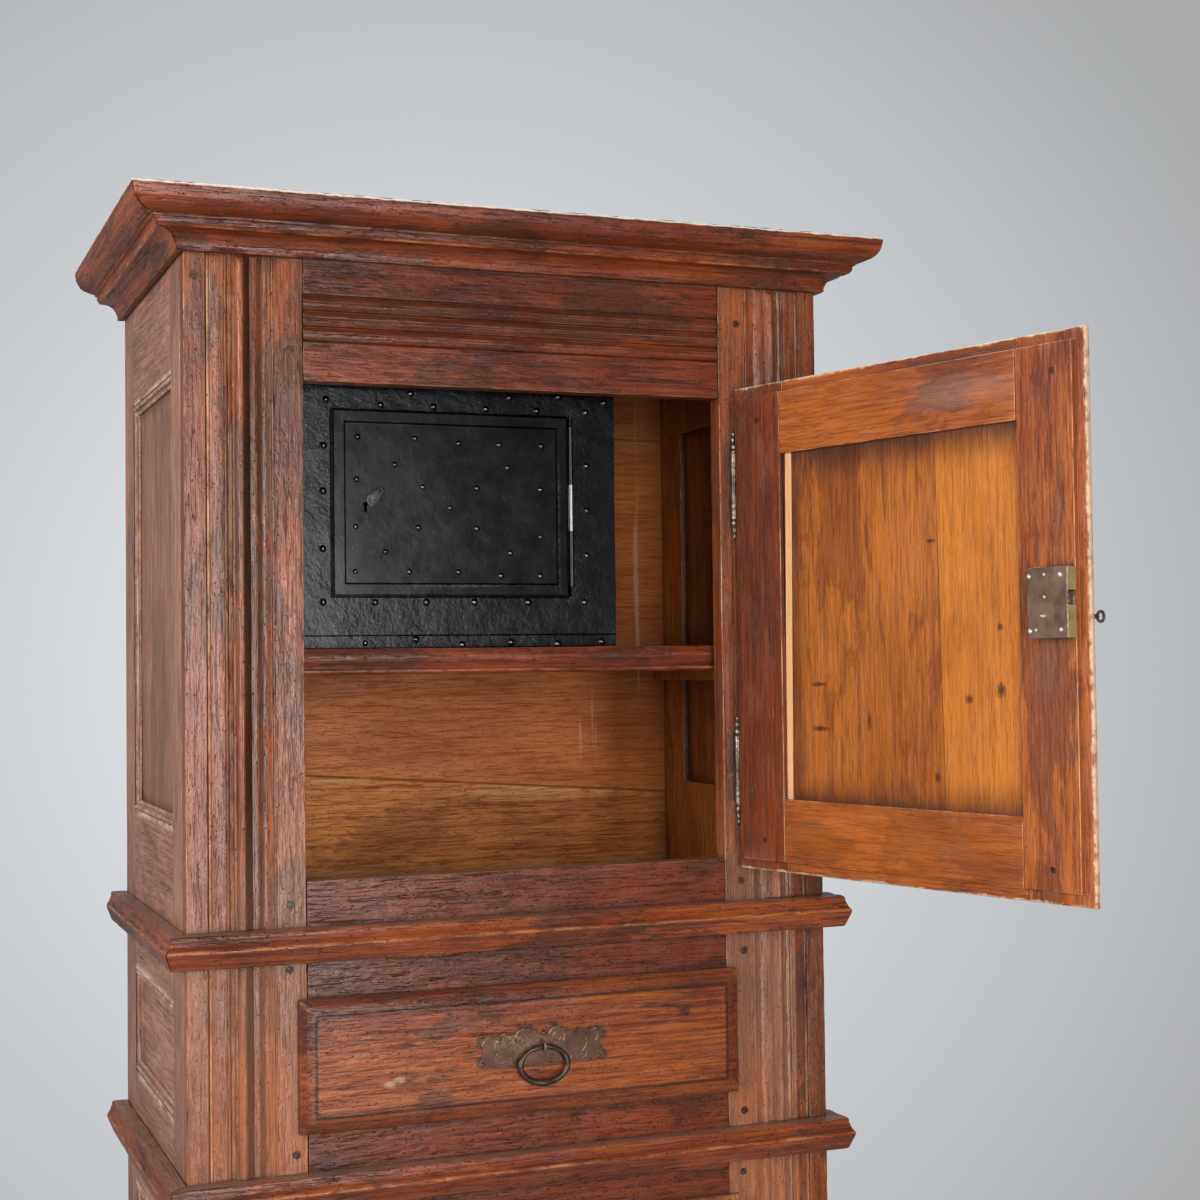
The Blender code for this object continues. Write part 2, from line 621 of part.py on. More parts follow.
def door(name, sill, head, turn):
    """A lipped frame-and-panel door on two barrel hinges. Gives its empty and its lock stile."""
    swing = pivot(name + "_swing", (HINGE_X, HINGE_Y, sill), None, turn)
    raised = (-HALF_OPENING + DOOR_SIDE_CLEARANCE, HALF_OPENING - DOOR_SIDE_CLEARANCE,
              sill + DOOR_END_CLEARANCE, head - DOOR_END_CLEARANCE)
    outer = grown(raised, DOOR_LIP)
    sight = grown(raised, -DOOR_MEMBER)
    lip_back, back, front = -GAP, DOOR_REBATE, -DOOR_FRONT

    step, bend, ahead = front + DOOR_MOULDING_STEP, DOOR_MOULDING * 0.85, front - OVERRUN
    profile = [(-OVERRUN, -DOOR_LIP_EDGE), (0, -DOOR_LIP_EDGE)]
    profile += arc((0, -DOOR_LIP_EDGE), (bend, step), -DOOR_MOULDING_STEP, 4)
    profile += [(bend, step), (DOOR_MOULDING, step), (DOOR_MOULDING, ahead), (-OVERRUN, ahead)]
    edge = cutter(name + "_edge", frame(outer, profile), swing)
    behind = back + OVERRUN
    profile = [(-OVERRUN, lip_back), (DOOR_LIP, lip_back), (DOOR_LIP, behind), (-OVERRUN, behind)]
    rebate = cutter(name + "_rebate", frame(outer, profile), swing)
    inner = DOOR_LIP + DOOR_MEMBER
    groove_back = -GAP
    groove_front = groove_back - PANEL_THICKNESS - 2 * GAP
    profile = [(inner - PANEL_TONGUE, groove_front), (inner + OVERRUN, groove_front),
               (inner + OVERRUN, groove_back), (inner - PANEL_TONGUE, groove_back)]
    groove = cutter(name + "_groove", frame(outer, profile), swing)
    flat, brink = STICKING_WIDTH * 0.4, front + STICKING_STEP * 1.5
    slope = (front + STICKING_DEPTH - brink) / (STICKING_WIDTH - flat)
    profile = [(inner - STICKING_WIDTH, ahead), (inner - STICKING_WIDTH, front + STICKING_STEP),
               (inner - STICKING_WIDTH + flat, brink),
               (inner + OVERRUN, front + STICKING_DEPTH + slope * OVERRUN), (inner + OVERRUN, ahead)]
    sticking = cutter(name + "_sticking", frame(outer, profile), swing)

    thick = (front, back)
    spans = {
        "_hinge_stile": ((sight[1], outer[1]), (outer[2], outer[3])),
        "_lock_stile": ((outer[0], sight[0]), (outer[2], outer[3])),
        "_top_rail": ((sight[0] + GAP, sight[1] - GAP), (sight[3], outer[3])),
        "_bottom_rail": ((sight[0] + GAP, sight[1] - GAP), (outer[2], sight[2])),
    }
    made = {}
    for word, (x, z) in spans.items():
        made[word] = add(name + word, block(x, thick, z), WOOD, swing)
        for tool in (edge, rebate, groove, sticking):
            combine(made[word], tool)
    combine(made["_hinge_stile"], cutter(name + "_leaf_slots", leaf_slots(sill, head, swing), swing))

    board = grown(sight, PANEL_TONGUE - PANEL_SLACK)
    field = grown(sight, -PANEL_MARGIN)
    face = groove_front + GAP
    raise_to = grown(field, -PANEL_FIELD_BEVEL)
    levels = [(groove_back - GAP, board), (face, board), (face, field), (face - PANEL_FIELD_RISE, raise_to),
              (face - PANEL_FIELD_RISE - PANEL_FIELD_STEP, raise_to)]
    add(name + "_panel", stack(levels), WOOD, swing)
    for word, level in zip(("upper", "lower"), hinge_levels(sill, head)):
        hinge(name + "_hinge_" + word, level, swing)
    return swing, made["_lock_stile"]


def lock_case(name, swing, low):
    """An iron lock case, open to the wood behind it. Gives the object and where its key goes."""
    left = -HALF_OPENING + DOOR_SIDE_CLEARANCE
    near, far = DOOR_REBATE + GAP, DOOR_REBATE + GAP + LOCK_DEPTH
    solid = block((left, left + LOCK_WIDTH), (near, far), (low, low + LOCK_HEIGHT))
    case = add(name, solid, STEEL, swing)
    hollow = block((left + LOCK_WALL, left + LOCK_WIDTH - LOCK_WALL), (near - OVERRUN, far - LOCK_WALL),
                   (low + LOCK_WALL, low + LOCK_HEIGHT - LOCK_WALL))
    combine(case, cutter(name + "_hollow", hollow, swing))
    return case, left + KEY_INSET, low + KEY_RISE


def circle(centre, radius, count=12, start=0.0, turn=math.tau):
    """Points round a circle, or round a part of one that starts at an angle."""
    steps = count if turn == math.tau else count - 1
    angles = [start + turn * i / steps for i in range(count)]
    return [(centre[0] + radius * math.cos(a), centre[1] + radius * math.sin(a)) for a in angles]


def upper_lock(swing, stile, post):
    """The upper door's box lock: its case, the bolt with its keep in the post, and the key."""
    case, key_x, key_z = lock_case("upper_lock_case", swing, UPPER_SILL + UPPER_LOCK_RISE)
    left = key_x - KEY_INSET
    near, far = DOOR_REBATE + GAP, DOOR_REBATE + GAP + LOCK_DEPTH
    bolt_low = key_z + KEY_BIT + BOLT_TO_KEY
    bolt_back = far - LOCK_WALL - BOLT_TO_BACK
    bolt_y, bolt_z = (bolt_back - BOLT_THICKNESS, bolt_back), (bolt_low, bolt_low + BOLT_HEIGHT)

    def hole_for_bolt(x, clear):
        return block(x, (bolt_y[0] - clear, bolt_y[1] + clear), (bolt_z[0] - clear, bolt_z[1] + clear))

    slot = hole_for_bolt((left - OVERRUN, left + LOCK_WALL + OVERRUN), GAP)
    combine(case, cutter("upper_lock_slot", slot, swing))

    latch = pivot("bolt_slide", (left, sum(bolt_y) / 2, sum(bolt_z) / 2), swing)
    length = (left + GAP, left + LOCK_WIDTH - LOCK_WALL - GAP)
    add("upper_lock_bolt", block(length, bolt_y, bolt_z), STEEL, latch)
    keep = (left - BOLT_THROW - KEEP_CLEARANCE, -HALF_OPENING + OVERRUN)
    combine(post, cutter("bolt_keep", hole_for_bolt(keep, KEEP_CLEARANCE)))

    turn = pivot("key_turn", (key_x, 0, key_z), swing)
    hole = circle((key_x, key_z), KEY_SHANK_RADIUS + GAP)
    through = (-DOOR_FRONT - OVERRUN, DOOR_REBATE + OVERRUN)
    combine(stile, cutter("key_bore", prism(hole, "y", *through), swing))
    collar = -DOOR_FRONT - KEY_REACH
    tip = far - LOCK_WALL - GAP
    thin, fat = KEY_SHANK_RADIUS, KEY_SHANK_RADIUS * 1.5
    shank = [(0, tip), (thin, tip), (thin, collar + KEY_COLLAR * 1.2), (fat, collar + KEY_COLLAR),
             (thin, collar + KEY_COLLAR * 0.8), (thin * 0.9, collar), (0, collar)]
    bm = lathe(shank, (0, 0, 0))
    for vert in bm.verts:
        x, y, z = vert.co
        vert.co = (key_x + x, z, key_z - y)
    key = add("key", bm, OLD_IRON, turn, smooth=True)
    bow_y = collar - KEY_BOW_RADIUS + KEY_BOW_TUBE * 0.4
    bow = torus((key_x, bow_y, key_z), KEY_BOW_RADIUS, KEY_BOW_RADIUS, KEY_BOW_TUBE, "yz", 16)
    combine(key, cutter("key_bow", bow, turn), "UNION")
    bit = block((key_x - KEY_BIT_THICKNESS / 2, key_x + KEY_BIT_THICKNESS / 2),
                (near + KEY_BIT_INSET, tip - KEY_BIT_INSET), (key_z - KEY_BIT, key_z))
    combine(key, cutter("key_bit", bit, turn), "UNION")


def keyhole(centre, radius):
    """A keyhole's outline: a round hole with a slot under it."""
    x, z = centre
    outline = circle(centre, radius, 11, -math.pi / 3, 5 / 3 * math.pi)
    return outline + [(x - radius / 2, z - KEYHOLE_SLOT), (x + radius / 2, z - KEYHOLE_SLOT)]


def lower_lock(swing, stile):
    """The lower door's lock case, with an empty keyhole in front of it: the one key fits both doors."""
    _, key_x, key_z = lock_case("lower_lock_case", swing, LOWER_SILL + LOWER_LOCK_RISE)
    hole = keyhole((key_x, key_z), KEY_SHANK_RADIUS + GAP)
    through = (-DOOR_FRONT - OVERRUN, DOOR_REBATE + OVERRUN)
    combine(stile, cutter("lower_keyhole", prism(hole, "y", *through), swing))


def torus(centre, wide, tall, tube, plane, around=28, section=8, swell=None):
    """A closed oval ring in the plane xz or yz. Swell gives a factor on the tube at an angle."""
    bm = bmesh.new()
    rings = []
    for i in range(around):
        turn = math.tau * i / around
        out = (math.cos(turn), math.sin(turn))
        radius = tube * (swell(turn) if swell else 1)
        ring = []
        for k in range(section):
            lean = math.tau * k / section
            a = wide * out[0] + radius * math.cos(lean) * out[0]
            b = tall * out[1] + radius * math.cos(lean) * out[1]
            c = radius * math.sin(lean)
            offset = (a, c, b) if plane == "xz" else (c, a, b)
            ring.append(bm.verts.new(Vector(centre) + Vector(offset)))
        rings.append(ring)
    for i in range(around):
        here, after = rings[i], rings[(i + 1) % around]
        for k in range(section):
            j = (k + 1) % section
            bm.faces.new((here[k], here[j], after[j], after[k]))
    return bm


def drawer():
    """The lipped drawer: its front, two sides, back and bottom, and the iron plate with a ring."""
    slide = pivot("drawer_slide", (0, 0, DRAWER_SILL))
    raised = (-HALF_OPENING + DOOR_SIDE_CLEARANCE, HALF_OPENING - DOOR_SIDE_CLEARANCE,
              DRAWER_SILL + DOOR_END_CLEARANCE, DRAWER_HEAD - DOOR_END_CLEARANCE)
    lip = grown(raised, DOOR_LIP)
    field = grown(lip, -DRAWER_MOULDING)
    step = -DRAWER_FRONT + DOOR_MOULDING_STEP
    levels = [(DRAWER_BACK_OF_FRONT, raised), (-GAP, raised), (-GAP, lip), (-DOOR_LIP_EDGE, lip)]
    levels += [(depth, grown(lip, -inset)) for inset, depth
               in arc((0, -DOOR_LIP_EDGE), (DRAWER_MOULDING, step), -DOOR_MOULDING_STEP, 4)]
    levels += [(step, field), (-DRAWER_FRONT, grown(field, -GAP))]
    board = add("drawer_front", stack(levels), WOOD, slide)

    start, end = DRAWER_BACK_OF_FRONT + GAP, DRAWER_LENGTH
    low = DRAWER_SILL + GAP
    high = low + DRAWER_SIDE_HEIGHT
    inner = raised[1] - DRAWER_WALL
    floor = low + DRAWER_BOTTOM_RISE
    tongue = DRAWER_WALL * 0.4
    bottom = ((-inner - tongue, inner + tongue), (DRAWER_BACK_OF_FRONT - tongue, end),
              (floor, floor + DRAWER_BOTTOM))
    rebate = cutter("drawer_groove", block(*[(a - GAP, b + GAP) for a, b in bottom]), slide)
    combine(board, rebate)
    for side, word in ((-1, "left"), (1, "right")):
        wall = block(sorted((side * raised[1], side * inner)), (start, end), (low, high))
        combine(add("drawer_side_" + word, wall, INNER_WOOD, slide), rebate)
    across = (-inner + GAP, inner - GAP)
    wall = block(across, (end - DRAWER_WALL, end), (floor + DRAWER_BOTTOM + GAP, high))
    add("drawer_back", wall, INNER_WOOD, slide)
    add("drawer_bottom", block(*bottom), INNER_WOOD, slide)
    pull(slide)


def plate_outline():
    """The right half of the pull's plate, from the top middle round to the bottom middle."""
    w, h = PLATE_WIDTH / 2, PLATE_HEIGHT / 2
    shape = [(0.00, 0.62), (0.05, 0.66), (0.10, 0.84), (0.20, 1.00), (0.32, 0.94), (0.40, 0.70),
             (0.50, 0.66), (0.58, 0.84), (0.66, 0.72), (0.74, 0.62), (0.82, 0.74), (0.90, 0.80),
             (0.98, 0.66), (0.97, 0.36), (0.91, 0.14), (0.92, -0.20), (0.95, -0.52), (1.00, -0.80),
             (0.92, -0.98), (0.80, -0.88), (0.66, -0.98), (0.46, -0.90), (0.30, -1.00), (0.14, -0.90),
             (0.00, -0.96)]
    return [(u * w, v * h) for u, v in shape]


def pull(slide):
    """The drawer's pull: a shaped iron plate with an eye, and the oval ring that hangs in it."""
    x, z = PULL_OFFSET, DRAWER_SILL + PULL_RISE
    face = -DRAWER_FRONT - GAP
    middle = z - PLATE_HEIGHT * 0.02
    half = plate_outline()
    outline = half + [(-u, v) for u, v in reversed(half[1:-1])]
    solid = prism([(x + u, middle + v) for u, v in outline], "y", face - PLATE_THICKNESS, face)
    plate = add("pull_plate", solid, OLD_IRON, slide)
    centre_y = face - PLATE_THICKNESS - EYE_REACH
    eye = torus((x, centre_y, z), EYE_HOLE + EYE_TUBE, EYE_HOLE + EYE_TUBE, EYE_TUBE, "yz", 16, 8)
    combine(plate, cutter("pull_eye", eye, slide), "UNION")
    tall = EYE_TUBE * 1.35
    neck = block((x - EYE_TUBE * 0.8, x + EYE_TUBE * 0.8),
                 (centre_y + EYE_HOLE + EYE_TUBE * 0.7, face - PLATE_THICKNESS * 0.4), (z - tall, z + tall))
    combine(plate, cutter("pull_neck", neck, slide), "UNION")

    hung = z - RING_SEAT
    swing = pivot("ring_swing", (x, centre_y, hung), slide)

    def collars(turn):
        bottom = math.exp(-((turn - 1.5 * math.pi) / 0.16) ** 2)
        shoulder = sum(math.exp(-((turn - 0.5 * math.pi + s * 0.36) / 0.10) ** 2) for s in (-1, 1))
        return 1 + 0.55 * bottom + 0.35 * shoulder

    drop = RING_HEIGHT / 2
    ring = torus((x, centre_y, hung - drop), RING_WIDTH / 2, drop, RING_TUBE, "xz", 36, 8, collars)
    add("pull_ring", ring, OLD_IRON, swing, smooth=True)


def safe():
    """The iron-clad safe: its case, the door on a long barrel and the swinging keyhole cover."""
    bottom = SHELF_TOP + GAP
    x = (SAFE_LEFT, SAFE_LEFT + SAFE_WIDTH)
    z = (bottom, bottom + SAFE_HEIGHT)
    y = (SAFE_FRONT, SAFE_FRONT + SAFE_DEPTH)
    leaf = (x[0] + SAFE_DOOR_LEFT, x[0] + SAFE_DOOR_LEFT + SAFE_DOOR_WIDTH,
            z[0] + SAFE_DOOR_BOTTOM, z[0] + SAFE_DOOR_BOTTOM + SAFE_DOOR_HEIGHT)
    mouth = grown(leaf, -SAFE_DOOR_OVERLAP)
    room = grown((*x, *z), -SAFE_WALL)
    case = add("safe_case", block(x, y, z), BLACK_IRON)
    inside = (y[0] + SAFE_WALL, y[1] - SAFE_WALL)
    levels = [(y[0] - OVERRUN, mouth), (inside[0], mouth), (inside[0], room), (inside[1], room)]
    combine(case, cutter("safe_room", stack(levels)))

    radius = SAFE_BARREL_RADIUS
    axis_x = leaf[1] + radius + SAFE_BARREL_GAP
    axis_y = y[0] - radius - 2 * GAP
    middle = (leaf[2] + leaf[3]) / 2
    half = SAFE_BARREL_LENGTH / 2
    swing = pivot("safe_door_swing", (axis_x, axis_y, middle))
    lugs = bmesh.new()
    bores = bmesh.new()
    for low in (middle - half - GAP - SAFE_LUG, middle + half + GAP):
        block((axis_x - radius, axis_x + radius), (axis_y - radius, y[0] + BITE), (low, low + SAFE_LUG), lugs)
        ring = circle((axis_x, axis_y), SAFE_PIN_RADIUS + GAP)
        prism(ring, "z", low - BITE, low + SAFE_LUG + BITE, bores)
    combine(case, cutter("safe_lugs", lugs), "UNION")
    combine(case, cutter("safe_bores", bores))

    back, front = y[0] - GAP, y[0] - GAP - SAFE_DOOR_THICKNESS
    sunk = grown(leaf, -SAFE_DOOR_STRIP)
    levels = [(back, leaf), (front - SAFE_STRIP_RISE, leaf), (front - SAFE_STRIP_RISE, sunk), (front, sunk)]
    sheet = add("safe_door", stack(levels), BLACK_IRON, swing)
    reach = SAFE_LUG - BITE
    barrel = [(0, -half - reach), (SAFE_PIN_RADIUS, -half - reach), (SAFE_PIN_RADIUS, -half), (radius, -half),
              (radius, half), (SAFE_PIN_RADIUS, half), (SAFE_PIN_RADIUS, half + reach), (0, half + reach)]
    combine(sheet, cutter("safe_barrel", lathe(barrel, (axis_x, axis_y, middle)), swing), "UNION")
    flap = block((leaf[1] - 2 * BITE, axis_x), (front + SAFE_FLAP * 0.5, front + SAFE_FLAP * 1.5),
                 (middle - half + SAFE_FLAP, middle + half - SAFE_FLAP))
    combine(sheet, cutter("safe_flap", flap, swing), "UNION")

    hang = (leaf[0] + COVER_INSET, leaf[2] + COVER_RISE)
    tail = pivot("cover_swing", (hang[0], front, hang[1]), swing)
    flat = (front - GAP - COVER_THICKNESS, front - GAP)
    stud = prism(circle(hang, COVER_PIN_RADIUS), "y", flat[0] - COVER_PIN_HEAD, front + BITE)
    combine(sheet, cutter("cover_pin", stud, swing), "UNION")
    hole = keyhole((hang[0] - SAFE_KEYHOLE_LEFT, hang[1] - SAFE_KEYHOLE_DROP), SAFE_KEYHOLE_RADIUS)
    combine(sheet, cutter("safe_keyhole", prism(hole, "y", front - OVERRUN, back + OVERRUN), swing))
    lean = math.radians(COVER_TILT_DEG)
    drop = COVER_LENGTH - COVER_RADIUS * 1.5
    foot = (hang[0] - drop * math.sin(lean), hang[1] - drop * math.cos(lean))
    teardrop = circle(hang, COVER_RADIUS * 0.55, 7, -lean, math.pi)
    teardrop += circle(foot, COVER_RADIUS, 9, math.pi - lean, math.pi)
    cover = add("safe_keyhole_cover", prism(teardrop, "y", *flat), BLACK_IRON, tail)
    bore = prism(circle(hang, COVER_PIN_RADIUS + GAP), "y", flat[0] - OVERRUN, flat[1] + OVERRUN)
    combine(cover, cutter("cover_bore", bore, tail))


plinth()
front_posts = posts()
rails()
sides()
boards()
cornice()
waist("waist_upper", UPPER_WAIST)
waist("waist_lower", LOWER_WAIST)
upper_swing, upper_stile = door("upper_door", UPPER_SILL, UPPER_HEAD, UPPER_DOOR_OPEN_DEG)
lower_swing, lower_stile = door("lower_door", LOWER_SILL, LOWER_HEAD, 0.0)
for tier, *edges in (("upper", UPPER_SILL, UPPER_HEAD), ("lower", LOWER_SILL, LOWER_HEAD)):
    slots = cutter("post_leaf_slots_" + tier, leaf_slots(*edges, None))
    combine(front_posts["right"], slots)
upper_lock(upper_swing, upper_stile, front_posts["left"])
lower_lock(lower_swing, lower_stile)
drawer()
safe()
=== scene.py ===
import math

import bmesh
import bpy
from mathutils import Matrix, Vector, noise
from mathutils.bvhtree import BVHTree


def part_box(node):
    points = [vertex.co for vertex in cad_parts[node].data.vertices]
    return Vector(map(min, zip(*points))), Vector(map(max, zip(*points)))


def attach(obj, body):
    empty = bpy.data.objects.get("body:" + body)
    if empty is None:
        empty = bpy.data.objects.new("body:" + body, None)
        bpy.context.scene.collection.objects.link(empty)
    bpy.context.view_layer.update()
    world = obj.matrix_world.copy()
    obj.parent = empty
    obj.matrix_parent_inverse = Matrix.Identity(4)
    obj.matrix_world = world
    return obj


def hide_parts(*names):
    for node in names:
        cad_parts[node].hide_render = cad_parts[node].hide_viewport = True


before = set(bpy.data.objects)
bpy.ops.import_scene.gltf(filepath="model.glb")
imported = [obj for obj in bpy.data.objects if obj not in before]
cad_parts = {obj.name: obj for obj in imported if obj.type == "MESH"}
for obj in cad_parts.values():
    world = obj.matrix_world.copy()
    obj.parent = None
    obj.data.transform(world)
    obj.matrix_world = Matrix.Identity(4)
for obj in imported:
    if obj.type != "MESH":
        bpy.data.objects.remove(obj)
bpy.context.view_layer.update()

# The plinth: a front board and two side boards of oak, mitred at the front corners.
# Planed by hand, stained and waxed; it carries the whole carcase.


def linear(colour):
    """An sRGB hex colour as the linear colour that a shader takes."""
    parts = [int(colour[i:i + 2], 16) / 255 for i in (1, 3, 5)]
    return (*[c / 12.92 if c <= 0.04045 else ((c + 0.055) / 1.055) ** 2.4 for c in parts], 1.0)


def add(tree, kind, sockets, out=0, **settings):
    """One node with its settings; each socket is set to a value or linked. Gives one output."""
    node = tree.nodes.new("ShaderNode" + kind)
    for key, value in settings.items():
        setattr(node, key, value)
    for key, value in sockets.items():
        if isinstance(value, bpy.types.NodeSocket):
            tree.links.new(value, node.inputs[key])
        else:
            node.inputs[key].default_value = value
    return node.outputs[out]


def blank(name):
    """A new finish, with its tree, its skin and the place on the object."""
    finish = bpy.data.materials.new(name)
    finish.use_nodes = True
    tree = finish.node_tree
    return finish, tree, tree.nodes["Principled BSDF"], add(tree, "TexCoord", {}, "Object")


def lay_over(finish, value, colour, start=0.0, end=1.0, strength=1.0, **ramp):
    """A stain or a bare place over a finish: none where the value is at start, all its strength at end."""
    tree = finish.node_tree
    base = tree.nodes["Principled BSDF"].inputs["Base Color"]
    under = base.links[0].from_socket
    share = add(tree, "MapRange", {"Value": value, "From Min": start, "From Max": end, "To Max": strength},
                **ramp)
    tree.links.new(add(tree, "Mix", {0: share, 6: under, 7: linear(colour)}, 2, data_type="RGBA"), base)


def spot_on(finish):
    """The object's own coordinates in a finish, as x, y and z."""
    place = add(finish.node_tree, "TexCoord", {}, "Object")
    return add(finish.node_tree, "SeparateXYZ", {0: place}).node.outputs


SMOOTH = dict(interpolation_type="SMOOTHSTEP")
GRAIN_X = (0, 0, 0)
GRAIN_Y = (0, 0, -math.pi / 2)
GRAIN_Z = (0, math.pi / 2, 0)


def oak(name, turn, deep, tone, rubbed, varnish, soot_and_shade, bloom, haze, wax, age=1.0, inset=None):
    """Hand-planed oak under old stain and wax: streaked along the grain with open pores, rubbed pale on the
    arrises, black with soot and wax in the corners and with painted shade where a point is shut in, paler on
    upward faces with dust and painted light from above, blotched where old varnish is left or worn through.
    age scales worm and cracks; inset is (axis, middle, half width, turn) of a cross piece in one solid."""
    finish, tree, skin, place = blank(name)
    soil_and_shade, wear, arris, line, lot = (add(tree, "Attribute", {}, "Fac", attribute_name=word)
                                    for word in ("soil_and_shade", "wear", "arris", "line", "lot"))
    lie = add(tree, "Mapping", {"Vector": place, "Rotation": turn})
    seam = 0.0
    if inset:
        axis, middle, half, other = inset
        at = add(tree, "SeparateXYZ", {0: place}, axis)
        within = add(tree, "Math", {0: at, 1: middle, 2: half}, operation="COMPARE")
        crossing = add(tree, "Mapping", {"Vector": place, "Rotation": other})
        lie = add(tree, "Mix", {0: within, 4: lie, 5: crossing}, 1, data_type="VECTOR")
        off = add(tree, "Math", {0: at, 1: middle}, operation="SUBTRACT")
        off = add(tree, "Math", {0: off}, operation="ABSOLUTE")
        seam = add(tree, "Math", {0: off, 1: half, 2: 0.0006}, operation="COMPARE")
    apart = add(tree, "VectorMath", {0: (3.7, 1.9, 5.3), "Scale": lot}, operation="SCALE")
    lie = add(tree, "VectorMath", {0: lie, 1: apart}, operation="ADD")

    def figure(size, stretch=0.4, shift=(0, 0, 0), **more):
        """A noise of this size across the grain, drawn out along it."""
        drawn = add(tree, "Mapping", {"Vector": lie, "Scale": (stretch, 1, 1), "Location": shift})
        return add(tree, "TexNoise", {"Vector": drawn, "Scale": 1 / size, **more})

    # growth streaks 5 mm wide; pores 0.3 mm wide in the real wood are drawn 1 mm wide, or they would not show
    streak = figure(0.005, 0.035, Detail=5, Roughness=0.65, Distortion=0.25)
    fibre = figure(0.0010, 0.03, Detail=2)
    pore = add(tree, "Math", {0: streak, 1: -0.5, 2: fibre}, operation="MULTIPLY_ADD")
    pore = add(tree, "MapRange", {"Value": pore, "From Min": 0.33, "From Max": 0.45}, **SMOOTH)
    tick = add(tree, "MapRange", {"Value": fibre, "From Min": 0.32, "From Max": 0.22, "To Max": 0.35},
               **SMOOTH)
    ring = figure(0.035, 0.07, (1.3, 6.1, 2.2), Detail=3, Roughness=0.45, Distortion=0.3)
    ring = add(tree, "Math", {0: ring, 1: 16.0}, operation="MULTIPLY")
    ring = add(tree, "Math", {0: ring, 1: 0.5}, operation="PINGPONG")
    ring = add(tree, "MapRange", {"Value": ring, "From Min": 0.20, "From Max": 0.03}, **SMOOTH)
    thin = add(tree, "MapRange", {"Value": fibre, "From Min": 0.36, "From Max": 0.58, "To Max": 0.42})
    ring = add(tree, "Math", {0: ring, 1: thin}, operation="MULTIPLY")
    patch = figure(0.030, Detail=6, Roughness=0.7, Distortion=0.4)
    facet = figure(0.010, Detail=3, Roughness=0.6)
    mood = figure(0.16, Detail=7, Roughness=0.6)
    blotch = figure(0.11, shift=(4.4, 8.2, 6.1), Detail=8, Roughness=0.65, Distortion=0.3)

    # worm holes 2 mm across in some of the 13 mm cells, pits 2 mm long, and cracks 1 mm wide along the grain
    cell = add(tree, "TexVoronoi", {"Vector": place, "Scale": 1 / 0.013}, "Distance")
    pick = add(tree, "SeparateXYZ", {0: cell.node.outputs["Color"]}, 0)
    pick = add(tree, "Math", {0: pick, 1: 1 - 0.22 * age}, operation="GREATER_THAN")
    hole = add(tree, "MapRange", {"Value": cell, "From Min": 0.10, "From Max": 0.05}, **SMOOTH)
    hole = add(tree, "Math", {0: hole, 1: pick}, operation="MULTIPLY")
    pit = figure(0.0022, shift=(2.9, 0.4, 7.7), Detail=1)
    pit = add(tree, "MapRange", {"Value": pit, "From Min": 0.66, "From Max": 0.75, "To Max": 0.9 * age},
              **SMOOTH)
    crack = figure(0.05, 0.07, (0.7, 2.3, 5.1), Detail=4, Roughness=0.55)
    crack = add(tree, "Math", {0: crack, 1: 0.5}, operation="SUBTRACT")
    crack = add(tree, "Math", {0: crack}, operation="ABSOLUTE")
    crack = add(tree, "MapRange", {"Value": crack, "From Min": 0.006, "From Max": 0.002})
    broken = add(tree, "MapRange", {"Value": patch, "From Min": 0.48, "From Max": 0.56, "To Max": 0.7 * age})
    crack = add(tree, "Math", {0: crack, 1: broken}, operation="MULTIPLY")
    hole = add(tree, "Math", {0: hole, 1: crack}, operation="MAXIMUM")
    hole = add(tree, "Math", {0: hole, 1: pit}, operation="MAXIMUM")

    depth = add(tree, "Math", {0: lot, 1: 0.12, 2: streak}, operation="MULTIPLY_ADD")
    depth = add(tree, "Math", {0: depth, 1: mood}, operation="ADD")
    depth = add(tree, "MapRange", {"Value": depth, "From Min": 0.86, "From Max": 1.26})
    colour = add(tree, "Mix", {0: depth, 6: linear(deep), 7: linear(tone)}, 2, data_type="RGBA")
    left = add(tree, "MapRange", {"Value": blotch, "From Min": 0.52, "From Max": 0.57, "To Max": 0.58},
               **SMOOTH)
    rub = add(tree, "MapRange", {"Value": patch, "From Min": 0.38, "From Max": 0.60}, **SMOOTH)
    handled = add(tree, "Math", {0: wear, 1: 0.16}, operation="MULTIPLY")
    handled = add(tree, "Math", {0: handled, 1: arris}, operation="MAXIMUM")
    rub = add(tree, "Math", {0: handled, 1: rub}, operation="MULTIPLY")
    rub = add(tree, "Math", {0: rub, 1: tick}, operation="MAXIMUM")
    film = add(tree, "MapRange", {"Value": patch, "From Min": 0.50, "From Max": 0.74, "To Max": haze})
    up = add(tree, "SeparateXYZ", {0: add(tree, "NewGeometry", {}, "Normal")}, 2)
    # upward faces take the bloom colour: partly settled dust, partly painted light from above
    dust_and_top_light = add(tree, "MapRange", {"Value": up, "From Min": 0.75, "From Max": 1.0, "To Max": 0.45})
    dark = add(tree, "Math", {0: pore, 1: 0.38}, operation="MULTIPLY")
